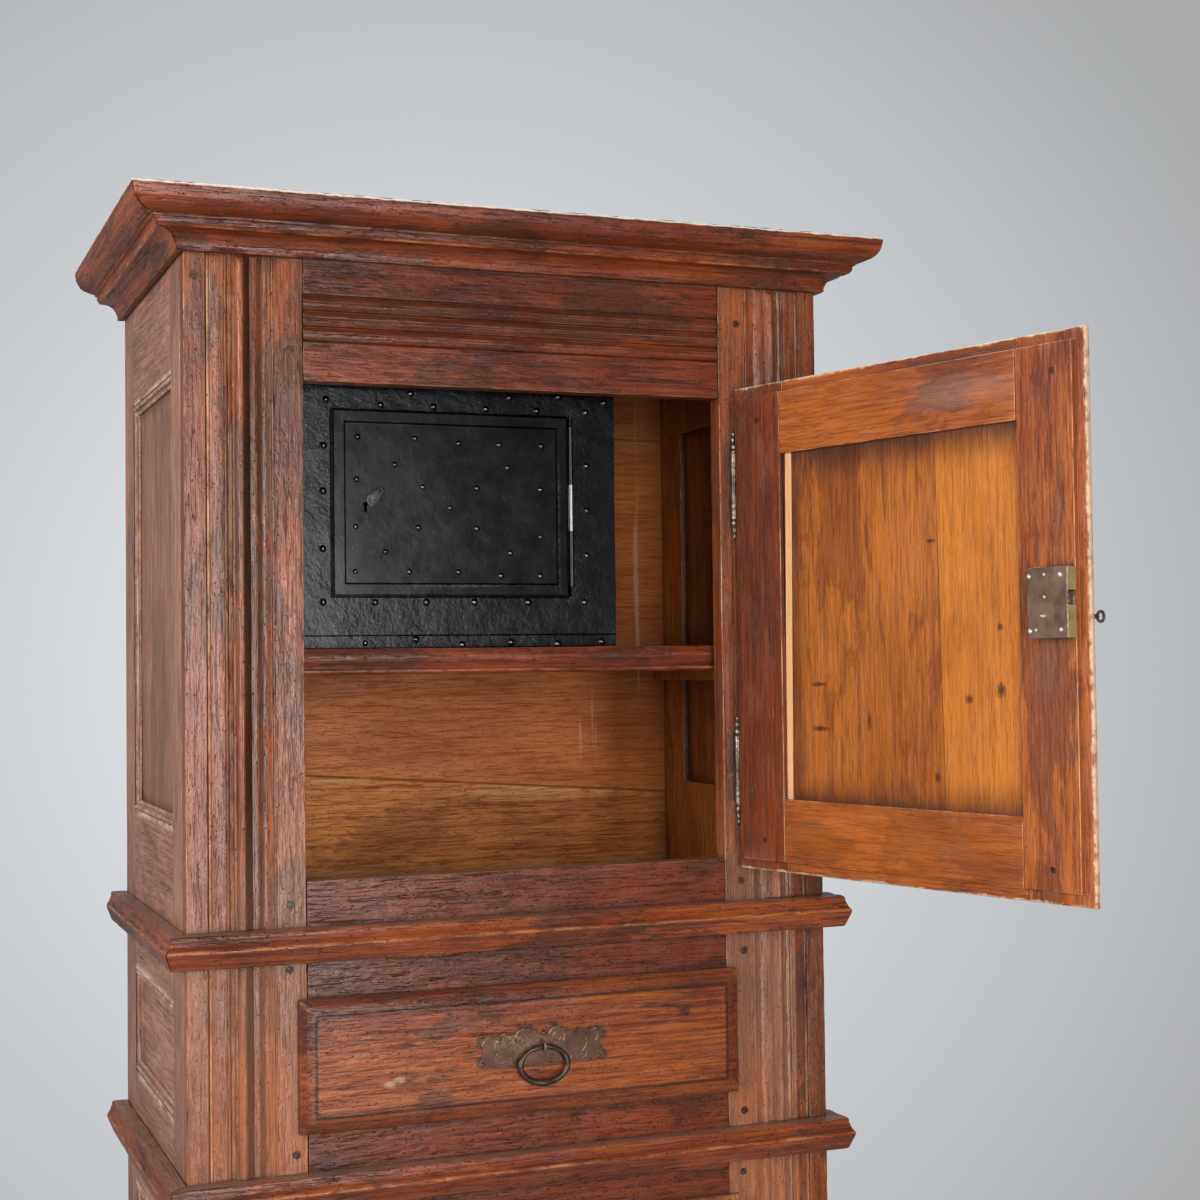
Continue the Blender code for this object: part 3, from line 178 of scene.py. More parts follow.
    # soot and wax in corners and along inward edges, together with painted shade where a point is shut in;
    # less of both on upward faces
    less_dirt_and_shade_on_top = add(tree, "MapRange", {"Value": up, "From Min": 0.3, "From Max": 0.9,
                                   "To Min": 0.75, "To Max": 0.1})
    dirt_and_shade = add(tree, "MapRange", {"Value": soil_and_shade, "From Min": 0.15, "From Max": 0.75})
    dirt_and_shade = add(tree, "Math", {0: dirt_and_shade, 1: line}, operation="MAXIMUM")
    dirt_and_shade = add(tree, "Math", {0: dirt_and_shade, 1: less_dirt_and_shade_on_top}, operation="MULTIPLY")
    for more in (ring, dirt_and_shade, seam, hole):
        dark = add(tree, "Math", {0: dark, 1: more}, operation="MAXIMUM")
    for share, laid in ((left, varnish), (rub, rubbed), (film, bloom), (dust_and_top_light, bloom), (dark, soot_and_shade)):
        colour = add(tree, "Mix", {0: share, 6: colour, 7: linear(laid)}, 2, data_type="RGBA")
    tree.links.new(colour, skin.inputs["Base Color"])

    dull = add(tree, "MapRange", {"Value": patch, "From Min": 0.3, "From Max": 0.75,
                                  "To Min": wax, "To Max": wax + 0.20})
    dull = add(tree, "Math", {0: dark, 1: 0.25, 2: dull}, operation="MULTIPLY_ADD")
    tree.links.new(dull, skin.inputs["Roughness"])
    relief = add(tree, "Math", {0: streak, 1: 0.35, 2: facet}, operation="MULTIPLY_ADD")
    relief = add(tree, "Math", {0: pore, 1: -0.40, 2: relief}, operation="MULTIPLY_ADD")
    relief = add(tree, "Math", {0: hole, 1: -1.0, 2: relief}, operation="MULTIPLY_ADD")
    bump = add(tree, "Bump", {"Height": relief, "Strength": 0.9, "Distance": 0.0012})
    tree.links.new(bump, skin.inputs["Normal"])
    skin.inputs["IOR"].default_value = 1.42
    return finish


STAINED = dict(deep="#5c230b", tone="#944616", rubbed="#b87443", varnish="#36180c", soot_and_shade="#120704",
               bloom="#9c8375", haze=0.07, wax=0.24)
front_oak = {turn: oak("oak_stained_and_waxed_" + word, turn, **STAINED)
             for word, turn in (("lying", GRAIN_X), ("deep", GRAIN_Y), ("standing", GRAIN_Z))}


SAME_POINT, FLAT_ANGLE, ROOM = 0.00002, 0.004, 2.5


def copy_of(node):
    """A solid's mesh with its loose triangles merged and its flat faces whole."""
    shape = bmesh.new()
    shape.from_mesh(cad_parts[node].data)
    bmesh.ops.remove_doubles(shape, verts=shape.verts, dist=SAME_POINT)
    bmesh.ops.dissolve_limit(shape, angle_limit=FLAT_ANGLE, verts=shape.verts, edges=shape.edges)
    return shape


def soften(shape, edges, width):
    """Rounds edges over a narrow strip."""
    bmesh.ops.bevel(shape, geom=edges, offset=width, offset_type="OFFSET", segments=2, profile=0.5,
                    affect="EDGES", material=-1, clamp_overlap=False)


def roomy(edge, width):
    """Whether both faces beside an edge are wide enough for a strip."""
    return (len(edge.link_faces) == 2
            and min(face.calc_area() for face in edge.link_faces) > ROOM * width * edge.calc_length())


INWARD_LEAST, OUTWARD_LEAST = 0.6, 0.87


def ease(shape, inward, outward):
    """Rounds the inward corners and the outward arrises, each as far as the faces beside it leave room."""
    for convex, width, least in ((False, inward, INWARD_LEAST), (True, outward, OUTWARD_LEAST)):
        for share in (1.0, 0.5, 0.25):
            sharp = [edge for edge in shape.edges if roomy(edge, width * share)
                     and edge.is_convex == convex and edge.calc_face_angle(0) > least]
            if sharp:
                soften(shape, sharp, width * share)


def layers(shape, *words):
    """The numbers that the points of a mesh carry under these words."""
    held = shape.verts.layers.float
    return [held.get(word) or held.new(word) for word in words]


CREASE_FROM, CREASE_SPAN = 0.52, 0.22


def crease(shape):
    """Marks the arrises, which hands rub pale, and the inward corners, where a dark line of wax and painted
    shade stays.
    """
    arris, line = layers(shape, "arris", "line")
    shape.normal_update()
    for edge in shape.edges:
        turn = edge.calc_face_angle_signed(0)
        layer = arris if turn > 0 else line
        for vert in edge.verts:
            vert[layer] = max(vert[layer], min(1, (abs(turn) - CREASE_FROM) / CREASE_SPAN))


def slice_at(shape, across, level):
    """Cuts a mesh along a plane without parting it."""
    everything = shape.verts[:] + shape.edges[:] + shape.faces[:]
    bmesh.ops.bisect_plane(shape, geom=everything, dist=0.00001, plane_co=across * level, plane_no=across)


def rule(shape, along, step):
    """Cuts the mesh across at uneven steps, so that its faces can run out of true."""
    along = Vector(along).normalized()
    reach = [vert.co.dot(along) for vert in shape.verts]
    low, length = min(reach), max(reach) - min(reach)
    count = int(length / step)
    for i in range(1, count):
        level = low + length * (i + 0.3 * noise.noise(along * (i * 0.7) + Vector((length, 0.3, 0.1)))) / count
        slice_at(shape, along, level)


LIP = 0.45


def scribe(shape, across, at, deep, facing):
    """Scratches a narrow V line with pale lips where a plane stands, into the faces that look one way."""
    across, facing = Vector(across), Vector(facing)
    for shift in (-2 * deep, -deep, 0, deep, 2 * deep):
        slice_at(shape, across, at + shift)
    shape.normal_update()
    arris, line = layers(shape, "arris", "line")
    for vert in shape.verts:
        off = abs(vert.co.dot(across) - at)
        if off < SAME_POINT and vert.normal.dot(facing) > 0.6:
            vert.co -= facing * deep
            vert[line] = 1.0
        elif abs(off - deep) < SAME_POINT and vert.normal.dot(facing) > 0.6:
            vert[arris] = LIP


REACH, RAYS, GOLDEN_ANGLE = 0.040, 40, 2.39996
OPEN_LEAN, UNDER_LOW, UNDER_HIGH = 0.15, -0.65, -0.2
spread = []
for i in range(RAYS):
    height = 1 - (2 * i + 1) / RAYS
    flat = math.sin(math.acos(height))
    spread.append(Vector((flat * math.cos(GOLDEN_ANGLE * i), flat * math.sin(GOLDEN_ANGLE * i), height)))
corners, facets = [], []
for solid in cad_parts.values():
    first = len(corners)
    corners += [vert.co.copy() for vert in solid.data.vertices]
    facets += [[first + i for i in face.vertices] for face in solid.data.polygons]
whole = BVHTree.FromPolygons(corners, facets)


def feel(shape, name, near):
    """Marks how far each point is shut in, where soot and wax gather and painted shade is laid, and how far
    it stands out to be rubbed.
    The piece also gets a number from its name, so that no two are cut from the same stretch of the tree."""
    shape.normal_update()
    soil_and_shade, wear, lot = layers(shape, "soil_and_shade", "wear", "lot")
    number = sum(map(ord, name)) * 0.618 % 1
    for vert in shape.verts:
        start, normal = vert.co + vert.normal * near * 0.08, vert.normal
        shut, seen, free, below = 0.0, 0, 0, 0
        for way in spread:
            lean = way.dot(normal)
            if lean > OPEN_LEAN:
                seen += 1
                hit = whole.ray_cast(start, way, REACH)[3]
                if hit is not None:
                    shut += 1 - 0.6 * hit / REACH
            elif UNDER_LOW < lean < UNDER_HIGH:
                below += 1
                free += whole.ray_cast(start, way, near)[3] is None
        vert[soil_and_shade] = shut / max(seen, 1)
        vert[wear] = min(1, max(0, 2.2 * free / max(below, 1) - 0.25))
        vert[lot] = number


HOLLOWS, KNOCKS, NICKS = 11, 47, 130  # per metre, roughly
LINE_SUNK = 0.0004


def weather(shape, wave, bruise):
    """Hollows the faces and bruises what stands out. Every move goes inwards, so the joints stay clear."""
    wear, line = layers(shape, "wear", "line")
    for vert in shape.verts:
        depth = wave * (0.5 + 0.5 * noise.noise(vert.co * HOLLOWS)) + LINE_SUNK * vert[line]
        knock = max(0, noise.noise(vert.co * KNOCKS + Vector((7, 3, 1))) - 0.1)
        knock += 0.6 * max(0, noise.noise(vert.co * NICKS) - 0.2)
        vert.co -= vert.normal * (depth + bruise * vert[wear] * knock)


SHARP_ANGLE = 0.62


def show(name, shape, finish, body, slot, *nodes):
    """Makes an object of a mesh, smooth but for its sharp edges, and sets it on its body."""
    mesh = bpy.data.meshes.new(name)
    shape.to_mesh(mesh)
    shape.free()
    mesh.shade_smooth()
    mesh.set_sharp_from_angle(angle=SHARP_ANGLE)
    mesh.materials.append(finish)
    piece = bpy.data.objects.new(name, mesh)
    bpy.context.scene.collection.objects.link(piece)
    flats = piece.modifiers.new("flat_faces", "WEIGHTED_NORMAL")
    flats.keep_sharp = True
    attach(piece, body)
    if nodes:
        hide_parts(*nodes)
    return piece


CORNER_WAX, RUB_REACH, PLANED_WAVE = 0.0009, 0.010, 0.0005


def board(node, finish, body, slot, along, step=0.016, across=None, width=0.05, arris=0.0014, bruise=0.003,
          cuts=(), shape=None):
    """A wooden piece as the plane and the years left it."""
    shape = shape or copy_of(node)
    ease(shape, CORNER_WAX, arris)
    rule(shape, along, step)
    if across:
        rule(shape, across, width)
    crease(shape)
    for cut in cuts:
        scribe(shape, *cut)
    feel(shape, node, RUB_REACH)
    weather(shape, PLANED_WAVE, bruise)
    return show("aged_" + node, shape, finish, body, slot, node)


FRONT, DEEP, TALL, AHEAD = (1, 0, 0), (0, 1, 0), (0, 0, 1), (0, -1, 0)
plinth_oak = oak("oak_stained_and_waxed_plinth", GRAIN_Y, inset=(0, 0, 0.474, GRAIN_X), **STAINED)
board("plinth", plinth_oak, "cabinet", "waxed_oak", FRONT, 0.02, DEEP, 0.02)

# The front posts: thick oak stiles from plinth to cornice, worked with a reed, a bead and a cavetto.
# The mouldings were run with a scratch stock, and the posts are pegged to the rails.
# Hands reach them first, so their stain is thinner and their wax cloudier than the rails'.
POST_EDGE, POST_LINES = 0.475, (0.0345, 0.0540, 0.0585, 0.0966, 0.1184)
post_oak = oak("oak_stained_thin_posts", GRAIN_Z, **{
    **STAINED, "deep": "#622911", "tone": "#9c5427", "rubbed": "#b8835a", "varnish": "#432a20", "haze": 0.16,
    "wax": 0.20})
# painted shade darkens the left post's flat beside its bead, with a painted shadow line along the bead's
# right side; below the waist both posts get a painted sheen, but for the right one's edge
HOLLOW, SHADOW_LINE_HALF, PAINTED_SHADE_END, BLUR = 0.0836, 0.0040, 0.1080, 0.001
SHEEN_BELOW, SHEEN_FULL, SHEEN_TO = 1.25, 1.0, 0.425
tree = post_oak.node_tree
across, _, rise = spot_on(post_oak)
inwards = add(tree, "Math", {0: POST_EDGE, 1: across}, operation="ADD")
painted_shade_beside_bead = add(tree, "MapRange", {"Value": inwards, "From Min": PAINTED_SHADE_END, "From Max": PAINTED_SHADE_END - BLUR})
past = add(tree, "Math", {0: inwards, 1: HOLLOW}, operation="GREATER_THAN")
lay_over(post_oak, add(tree, "Math", {0: painted_shade_beside_bead, 1: past}, operation="MULTIPLY"), "#3c1c0e", strength=0.4)
# painted shadow: a dark line along the right side of the left post's bead
off = add(tree, "Math", {0: inwards, 1: HOLLOW}, operation="SUBTRACT")
off = add(tree, "Math", {0: off}, operation="ABSOLUTE")
lay_over(post_oak, off, "#1c0b05", SHADOW_LINE_HALF + BLUR, SHADOW_LINE_HALF, 0.7)
# painted sheen: a paler colour low on the posts stands in for the wax's reflection
painted_sheen_low = add(tree, "MapRange", {"Value": rise, "From Min": SHEEN_BELOW, "From Max": SHEEN_FULL})
reached = add(tree, "Math", {0: across, 1: SHEEN_TO}, operation="LESS_THAN")
lay_over(post_oak, add(tree, "Math", {0: painted_sheen_low, 1: reached}, operation="MULTIPLY"), "#c98a66",
         strength=0.22)
for side, hand in (("left", -1), ("right", 1)):
    reeds = [(FRONT, hand * (POST_EDGE - line), 0.0008, AHEAD) for line in POST_LINES]
    board("post_" + side, post_oak, "cabinet", "waxed_oak", TALL, 0.012, bruise=0.0045, cuts=reeds)

# The front rails between the posts: reeded frieze, and the plain rails under the doors and the drawer.
# Oak boards tenoned into the posts.
rail_oak = oak("oak_stained_rails", GRAIN_X, **{
    **STAINED, "deep": "#481705", "tone": "#7c340c", "rubbed": "#a8683c", "haze": 0.04})
FRIEZE_LINES = (1.9270, 1.9168, 1.9062, 1.8950, 1.8842, 1.8740, 1.8632)
reeds = [(TALL, level, 0.0013, AHEAD) for level in FRIEZE_LINES]
board("frieze_rail", rail_oak, "cabinet", "waxed_oak", FRONT, 0.014, TALL, 0.014, cuts=reeds)
for rail in ("upper_sill_rail", "lower_head_rail", "bottom_rail"):
    board(rail, rail_oak, "cabinet", "waxed_oak", FRONT, 0.014, TALL, 0.014)

# Pegs that hold the tenons: riven oak, driven in from the front and left a little proud.
# End grain takes more stain, so they are nearly black.
PEGS = ((-461.6, 1943.9), (-332.0, 1850.0), (-334.5, 1096.1), (-336.5, 1009.0), (-328.7, 760.9),
        (-331.0, 672.0), (343.3, 1921.2), (338.5, 1094.5), (341.7, 991.3), (339.0, 757.0), (336.0, 668.0),
        (-333.0, 160.0), (337.0, 164.0))
PEG_RADIUS, PEG_LENGTH, PEG_SUNK, PEG_ARRIS = 0.0064, 0.006, 0.0022, 0.0006
peg_oak = oak("oak_end_grain", GRAIN_Y, **{**STAINED, "deep": "#2e160c", "tone": "#5a301a"})


def turned_to(way):
    """The turn from upright to another way."""
    return Vector(TALL).rotation_difference(Vector(way)).to_matrix().to_4x4()


def peg(shape, place, facing, radius):
    """A riven peg's end: seven-sided, tapered, its arris worn."""
    made = bmesh.ops.create_cone(shape, cap_ends=True, segments=7, radius1=radius, radius2=radius * 0.9,
                                 depth=PEG_LENGTH)
    rim = [edge for edge in shape.edges if all(vert in made["verts"] for vert in edge.verts)
           and all(vert.co.z > 0 for vert in edge.verts)]
    spin = Matrix.Rotation(place[0] * 97, 4, "Z")
    stand = Matrix.Translation(Vector(place) - Vector(facing) * PEG_SUNK) @ turned_to(facing) @ spin
    bmesh.ops.transform(shape, verts=made["verts"], matrix=stand)
    soften(shape, rim, PEG_ARRIS)


pegs = bmesh.new()
for x, z in PEGS:
    peg(pegs, (x / 1000, 0, z / 1000), AHEAD, PEG_RADIUS)
show("frame_pegs", pegs, peg_oak, "cabinet", "waxed_oak")

# The side frames and their sunk panels: oak stiles and rails, tenoned and pegged, with moulded inner edges.
# The sides never had as much wax as the front, so they are greyer and duller; inside they are bare.
SIDE = dict(deep="#764a39", tone="#a8745c", rubbed="#dfbba4", varnish="#785242", soot_and_shade="#1d110c",
            bloom="#b09c92", haze=0.36, wax=0.36)
BARE = dict(deep="#924a1b", tone="#cb7d34", rubbed="#cf9452", varnish="#8c4718", soot_and_shade="#2a140a",
            bloom="#a98a66", haze=0.08, wax=0.44)
side_frame_oak = oak("oak_side_frame", GRAIN_Z, inset=(1, 0.285, 0.180, GRAIN_Y), age=0.5, **SIDE)
side_panel_oak = oak("oak_side_panel", GRAIN_Z, age=0.5, **SIDE)
bare_standing = oak("oak_bare_standing", GRAIN_Z, age=0.5, **BARE)


def face_with(piece, finish, way):
    """Gives the faces of a piece that look one way a second finish."""
    piece.data.materials.append(finish)
    for face in piece.data.polygons:
        if face.normal.dot(way) > 0.5:
            face.material_index = 1


for side, hand in (("left", -1), ("right", 1)):
    made = [board("side_frame_" + side, side_frame_oak, "cabinet", "waxed_oak", TALL, 0.022, DEEP, 0.022)]
    for level in ("upper", "lower"):
        made.append(board("side_panel_" + level + "_" + side, side_panel_oak, "cabinet", "waxed_oak",
                          TALL, 0.03, DEEP, 0.04))
    for piece in made:
        face_with(piece, bare_standing, Vector(FRONT) * -hand)

# Beads planted round the side panels: two reeds across the top and bottom of each window, one down each edge.
# Thin oak slips glued to the frame's bevel, their tops rubbed pale.
WINDOWS = ((1.200, 1.825), (0.8005, 0.9555), (0.216, 0.626))
NEAR_EDGE, FAR_EDGE = 0.105, 0.465
REEDS, REED_RADIUS = ((0.0045, 0.0028), (0.0115, 0.0078)), 0.0032
UPRIGHT_INSET, UPRIGHT_SUNK, UPRIGHT_SHORT, UPRIGHT_RADIUS = 0.008, 0.0055, 0.012, 0.0026


def bead(shape, start, end, radius):
    """A half-sunk round slip from one point to another."""
    start, end = Vector(start), Vector(end)
    made = bmesh.ops.create_cone(shape, cap_ends=True, segments=10, radius1=radius, radius2=radius,
                                 depth=(end - start).length)["verts"]
    stand = Matrix.Translation((start + end) / 2) @ turned_to(end - start)
    bmesh.ops.transform(shape, verts=made, matrix=stand)


for side, hand in (("left", -1), ("right", 1)):
    beads = bmesh.new()
    for low, high in WINDOWS:
        for inset, sunk in REEDS:
            out = hand * (POST_EDGE - sunk)
            for level in (low + inset, high - inset):
                bead(beads, (out, NEAR_EDGE + inset, level), (out, FAR_EDGE - inset, level), REED_RADIUS)
        out = hand * (POST_EDGE - UPRIGHT_SUNK)
        for run in (NEAR_EDGE + UPRIGHT_INSET, FAR_EDGE - UPRIGHT_INSET):
            bead(beads, (out, run, low + UPRIGHT_SHORT), (out, run, high - UPRIGHT_SHORT), UPRIGHT_RADIUS)
    rule(beads, TALL, 0.03)
    rule(beads, DEEP, 0.03)
    crease(beads)
    feel(beads, "side_beads_" + side, 0.004)
    weather(beads, 0.0003, 0.0010)
    show("side_beads_" + side, beads, side_panel_oak, "cabinet", "waxed_oak")

# The boards that close the carcase: back, top, floors and the shelf. Oak, sawn and roughly planed.
# They are nailed to the frames or lie on cleats. Only the shelf is stained; the rest is tan, dry and dusty.
bare_oak = oak("oak_bare_lying", GRAIN_X, age=0.5, **BARE)
back_oak = oak("oak_bare_back", GRAIN_X, age=0.6, **BARE)
JOINT, JOINT_SLOPE, JOINT_LIFT = 1.2313, -0.0739, -0.0066
WET_MIDDLE, WET_HALF, DRIP_LOW, DRIP_FULL = 0.365, 0.085, 1.24, 1.30
tree = back_oak.node_tree
place = add(tree, "TexCoord", {}, "Object")
across, _, rise = spot_on(back_oak)
level = add(tree, "Math", {0: across, 1: -JOINT_SLOPE, 2: rise}, operation="MULTIPLY_ADD")
lay_over(back_oak, level, "#a8541e", JOINT + JOINT_LIFT - BLUR, JOINT + JOINT_LIFT + BLUR, 0.5)
drip = add(tree, "Mapping", {"Vector": place, "Scale": (1, 1, 0.03)})
drip = add(tree, "TexNoise", {"Vector": drip, "Scale": 1 / 0.014, "Detail": 2})
drip = add(tree, "MapRange", {"Value": drip, "From Min": 0.62, "From Max": 0.68, "To Max": 0.4})
wet = add(tree, "Math", {0: across, 1: WET_MIDDLE, 2: WET_HALF}, operation="COMPARE")
drip = add(tree, "Math", {0: drip, 1: wet}, operation="MULTIPLY")
run = add(tree, "MapRange", {"Value": rise, "From Min": DRIP_LOW, "From Max": DRIP_FULL}, **SMOOTH)
lay_over(back_oak, add(tree, "Math", {0: drip, 1: run}, operation="MULTIPLY"), "#c8a890")
shape = copy_of("back_boards")
for vert in shape.verts:
    if abs(vert.co.z - JOINT) < 0.004:
        vert.co.z += JOINT_LIFT + JOINT_SLOPE * vert.co.x
BACK_JOINTS = (0.4200, 0.6260, 0.8350, 1.0575, 1.2310, 1.4420, 1.6300, 1.8080)
joints = [(TALL, level, 0.0012, DEEP) for level in BACK_JOINTS]
board("back_boards", back_oak, "cabinet", "bare_oak", FRONT, 0.04, TALL, 0.04, arris=0.001, cuts=joints,
      shape=shape)
for name in ("top_board", "upper_floor", "drawer_floor", "lower_floor"):
    board(name, bare_oak, "cabinet", "bare_oak", FRONT, 0.04, DEEP, 0.04, arris=0.001)
board("shelf", rail_oak, "cabinet", "waxed_oak", FRONT, 0.014)

# The cornice and the two waist mouldings: oak lengths run to a profile, mitred at the front corners.
# Glued and nailed to the carcase; their noses and upper edges are the most knocked about.
for band in ("waist_upper", "waist_lower"):
    board(band + "_front", front_oak[GRAIN_X], "cabinet", "waxed_oak", FRONT, 0.009, bruise=0.007)
    for side in ("left", "right"):
        board(band + "_" + side, front_oak[GRAIN_Y], "cabinet", "waxed_oak", DEEP, 0.009, bruise=0.007)
PALE_TOP_EDGE_ABOVE = 2.0462
for turn, run, sides in ((GRAIN_X, FRONT, ("front",)), (GRAIN_Y, DEEP, ("left", "right"))):
    cornice_oak = oak("oak_cornice_" + sides[0], turn, **STAINED)
    tree = cornice_oak.node_tree
    place = add(tree, "TexCoord", {}, "Object")
    rise = spot_on(cornice_oak)[2]
    # the cornice's top edge is painted near white on its side faces: partly chipped pale wood, partly a
    # painted highlight where light catches the arris
    ragged = add(tree, "TexNoise", {"Vector": place, "Scale": 1 / 0.02, "Detail": 4})
    rise = add(tree, "Math", {0: ragged, 1: 0.004, 2: rise}, operation="MULTIPLY_ADD")
    pale_chips_and_highlight = add(tree, "MapRange", {"Value": rise, "From Min": PALE_TOP_EDGE_ABOVE + 0.0020,
                                  "From Max": PALE_TOP_EDGE_ABOVE + 0.0032})
    up = add(tree, "SeparateXYZ", {0: add(tree, "NewGeometry", {}, "Normal")}, 2)
    side_on = add(tree, "MapRange", {"Value": up, "From Min": 0.85, "From Max": 0.65})
    lay_over(cornice_oak, add(tree, "Math", {0: pale_chips_and_highlight, 1: side_on}, operation="MULTIPLY"), "#dccfbf",
             strength=0.9)
    for side in sides:
        board("cornice_" + side, cornice_oak, "cabinet", "waxed_oak", run, 0.009, bruise=0.010)

# The safe: a case of sheet iron on the shelf, its door on a long barrel, and a drop cover over the keyhole.
# Hammered flat, riveted, painted black and rubbed with oil; the sheet is still a little wavy.


def iron(name, deep, tone, scuff, sheen, metal, mottle=0.16, dent=0.001):
    """Hammered iron: a mottled skin, scuffed to bare metal on the edges."""
    finish, tree, skin, place = blank(name)
    cloud = add(tree, "TexNoise", {"Vector": place, "Scale": 1 / 0.03, "Detail": 6, "Roughness": 0.65})
    fleck = add(tree, "TexNoise", {"Vector": place, "Scale": 1 / 0.004, "Detail": 3, "Roughness": 0.6})
    soil_and_shade, arris, line = (add(tree, "Attribute", {}, "Fac", attribute_name=word)
                         for word in ("soil_and_shade", "arris", "line"))
    worn = add(tree, "MapRange", {"Value": fleck, "From Min": 0.40, "From Max": 0.58}, **SMOOTH)
    edge = add(tree, "Math", {0: arris, 1: worn}, operation="MULTIPLY")
    edge = add(tree, "Math", {0: edge, 1: 0.7}, operation="MULTIPLY")
    tint = add(tree, "MapRange", {"Value": cloud, "From Min": 0.3, "From Max": 0.7})
    colour = add(tree, "Mix", {0: tint, 6: linear(deep), 7: linear(tone)}, 2, data_type="RGBA")
    colour = add(tree, "Mix", {0: edge, 6: colour, 7: linear(scuff)}, 2, data_type="RGBA")
    # dark in corners and along inward edges: dirt, and painted shade where a point is shut in
    corner = add(tree, "MapRange", {"Value": soil_and_shade, "From Min": 0.3, "From Max": 0.9, "To Max": 0.8})
    corner = add(tree, "Math", {0: corner, 1: line}, operation="MAXIMUM")
    colour = add(tree, "Mix", {0: corner, 6: colour, 7: linear("#080706")}, 2, data_type="RGBA")
    tree.links.new(colour, skin.inputs["Base Color"])
    dull = add(tree, "MapRange", {"Value": cloud, "From Min": 0.3, "From Max": 0.75,
                                  "To Min": sheen, "To Max": sheen + mottle})
    tree.links.new(dull, skin.inputs["Roughness"])
    relief = add(tree, "Math", {0: fleck, 1: 0.20, 2: cloud}, operation="MULTIPLY_ADD")
    bump = add(tree, "Bump", {"Height": relief, "Strength": 0.4, "Distance": dent})
    tree.links.new(bump, skin.inputs["Normal"])
    skin.inputs["Metallic"].default_value = metal
    return finish


BLACK = dict(deep="#252526", tone="#2c2c2d", scuff="#66676a", sheen=0.22, metal=1.0, mottle=0.08)
black_iron = iron("sheet_iron_oiled_black", dent=0.003, **BLACK)


def metal_piece(node, finish, body, slot, arris=0.0003):
    """An iron piece with its edges filed round."""
    shape = copy_of(node)
    ease(shape, arris, arris)
    bmesh.ops.dissolve_degenerate(shape, dist=0.00001, edges=shape.edges)
    crease(shape)
    feel(shape, node, 0.003)
    show("filed_" + node, shape, finish, body, slot, node)


def sheet_piece(node, finish, body, step, wave, cuts=()):
    """A sheet-iron piece that the hammer left a little wavy."""
    shape = copy_of(node)
    ease(shape, 0.0005, 0.0006)
    rule(shape, FRONT, step)
    rule(shape, TALL, step)
    crease(shape)
    for cut in cuts:
        scribe(shape, *cut)
    feel(shape, node, 0.003)
    weather(shape, wave, 0.0004)
    show("hammered_" + node, shape, finish, body, "black_iron", node)


SHEET_LAP, KNUCKLE_MIDDLE, KNUCKLE_HALF, BARREL_EDGE = 1.4602, 1.6458, 0.0341, 0.0935
door_iron = iron("sheet_iron_oiled_black_door", **BLACK)
tree = door_iron.node_tree
across, _, rise = spot_on(door_iron)
knuckle = add(tree, "Math", {0: rise, 1: KNUCKLE_MIDDLE, 2: KNUCKLE_HALF}, operation="COMPARE")
barrel = add(tree, "Math", {0: across, 1: BARREL_EDGE}, operation="GREATER_THAN")
lay_over(door_iron, add(tree, "Math", {0: knuckle, 1: barrel}, operation="MULTIPLY"), "#6c6d6e")


def beyond(tree, place, middle, half):
    """How far a place lies outside an upright rectangle; less than nothing inside it."""
    away = add(tree, "VectorMath", {0: place, 1: middle}, operation="SUBTRACT")
    away = add(tree, "VectorMath", {0: away}, operation="ABSOLUTE")
    away = add(tree, "VectorMath", {0: away, 1: half}, operation="SUBTRACT")
    across, _, rise = add(tree, "SeparateXYZ", {0: away}).node.outputs
    return add(tree, "Math", {0: across, 1: rise}, operation="MAXIMUM")


LEAF_MIDDLE, LEAF_STRIP, LEAF_SEAM_SHADOW = (-0.0835, 0, 1.6473), 0.017, 0.0013
LEAF_HALF_WIDTH, LEAF_HALF_HEIGHT = 0.1755, 0.131
# painted shadow: dark lines in the seam round the safe door, along its edge and along the step of its border
# strip
for finish, inset in ((black_iron, -0.0016), (door_iron, LEAF_STRIP), (door_iron, 0.0006)):
    tree = finish.node_tree
    seam = beyond(tree, add(tree, "TexCoord", {}, "Object"), LEAF_MIDDLE,
                  (LEAF_HALF_WIDTH - inset, 0, LEAF_HALF_HEIGHT - inset))
    lay_over(finish, add(tree, "Math", {0: seam, 1: 0.0, 2: LEAF_SEAM_SHADOW}, operation="COMPARE"), "#080809")
sheet_piece("safe_case", black_iron, "cabinet", 0.02, 0.0018, cuts=((TALL, SHEET_LAP, 0.0006, AHEAD),))
sheet_piece("safe_door", door_iron, "safe_leaf", 0.02, 0.0010)


def dome(shape, place, radius, height, facing):
    """A hammered rivet or nail head: a low dome on a face, seen from facing."""
    made = bmesh.ops.create_uvsphere(shape, u_segments=12, v_segments=8, radius=1.0)["verts"]
    stand = Matrix.Translation(Vector(place)) @ turned_to(facing)
    stand = stand @ Matrix.Diagonal((radius, radius, height, 1))
    bmesh.ops.transform(shape, verts=made, matrix=stand)


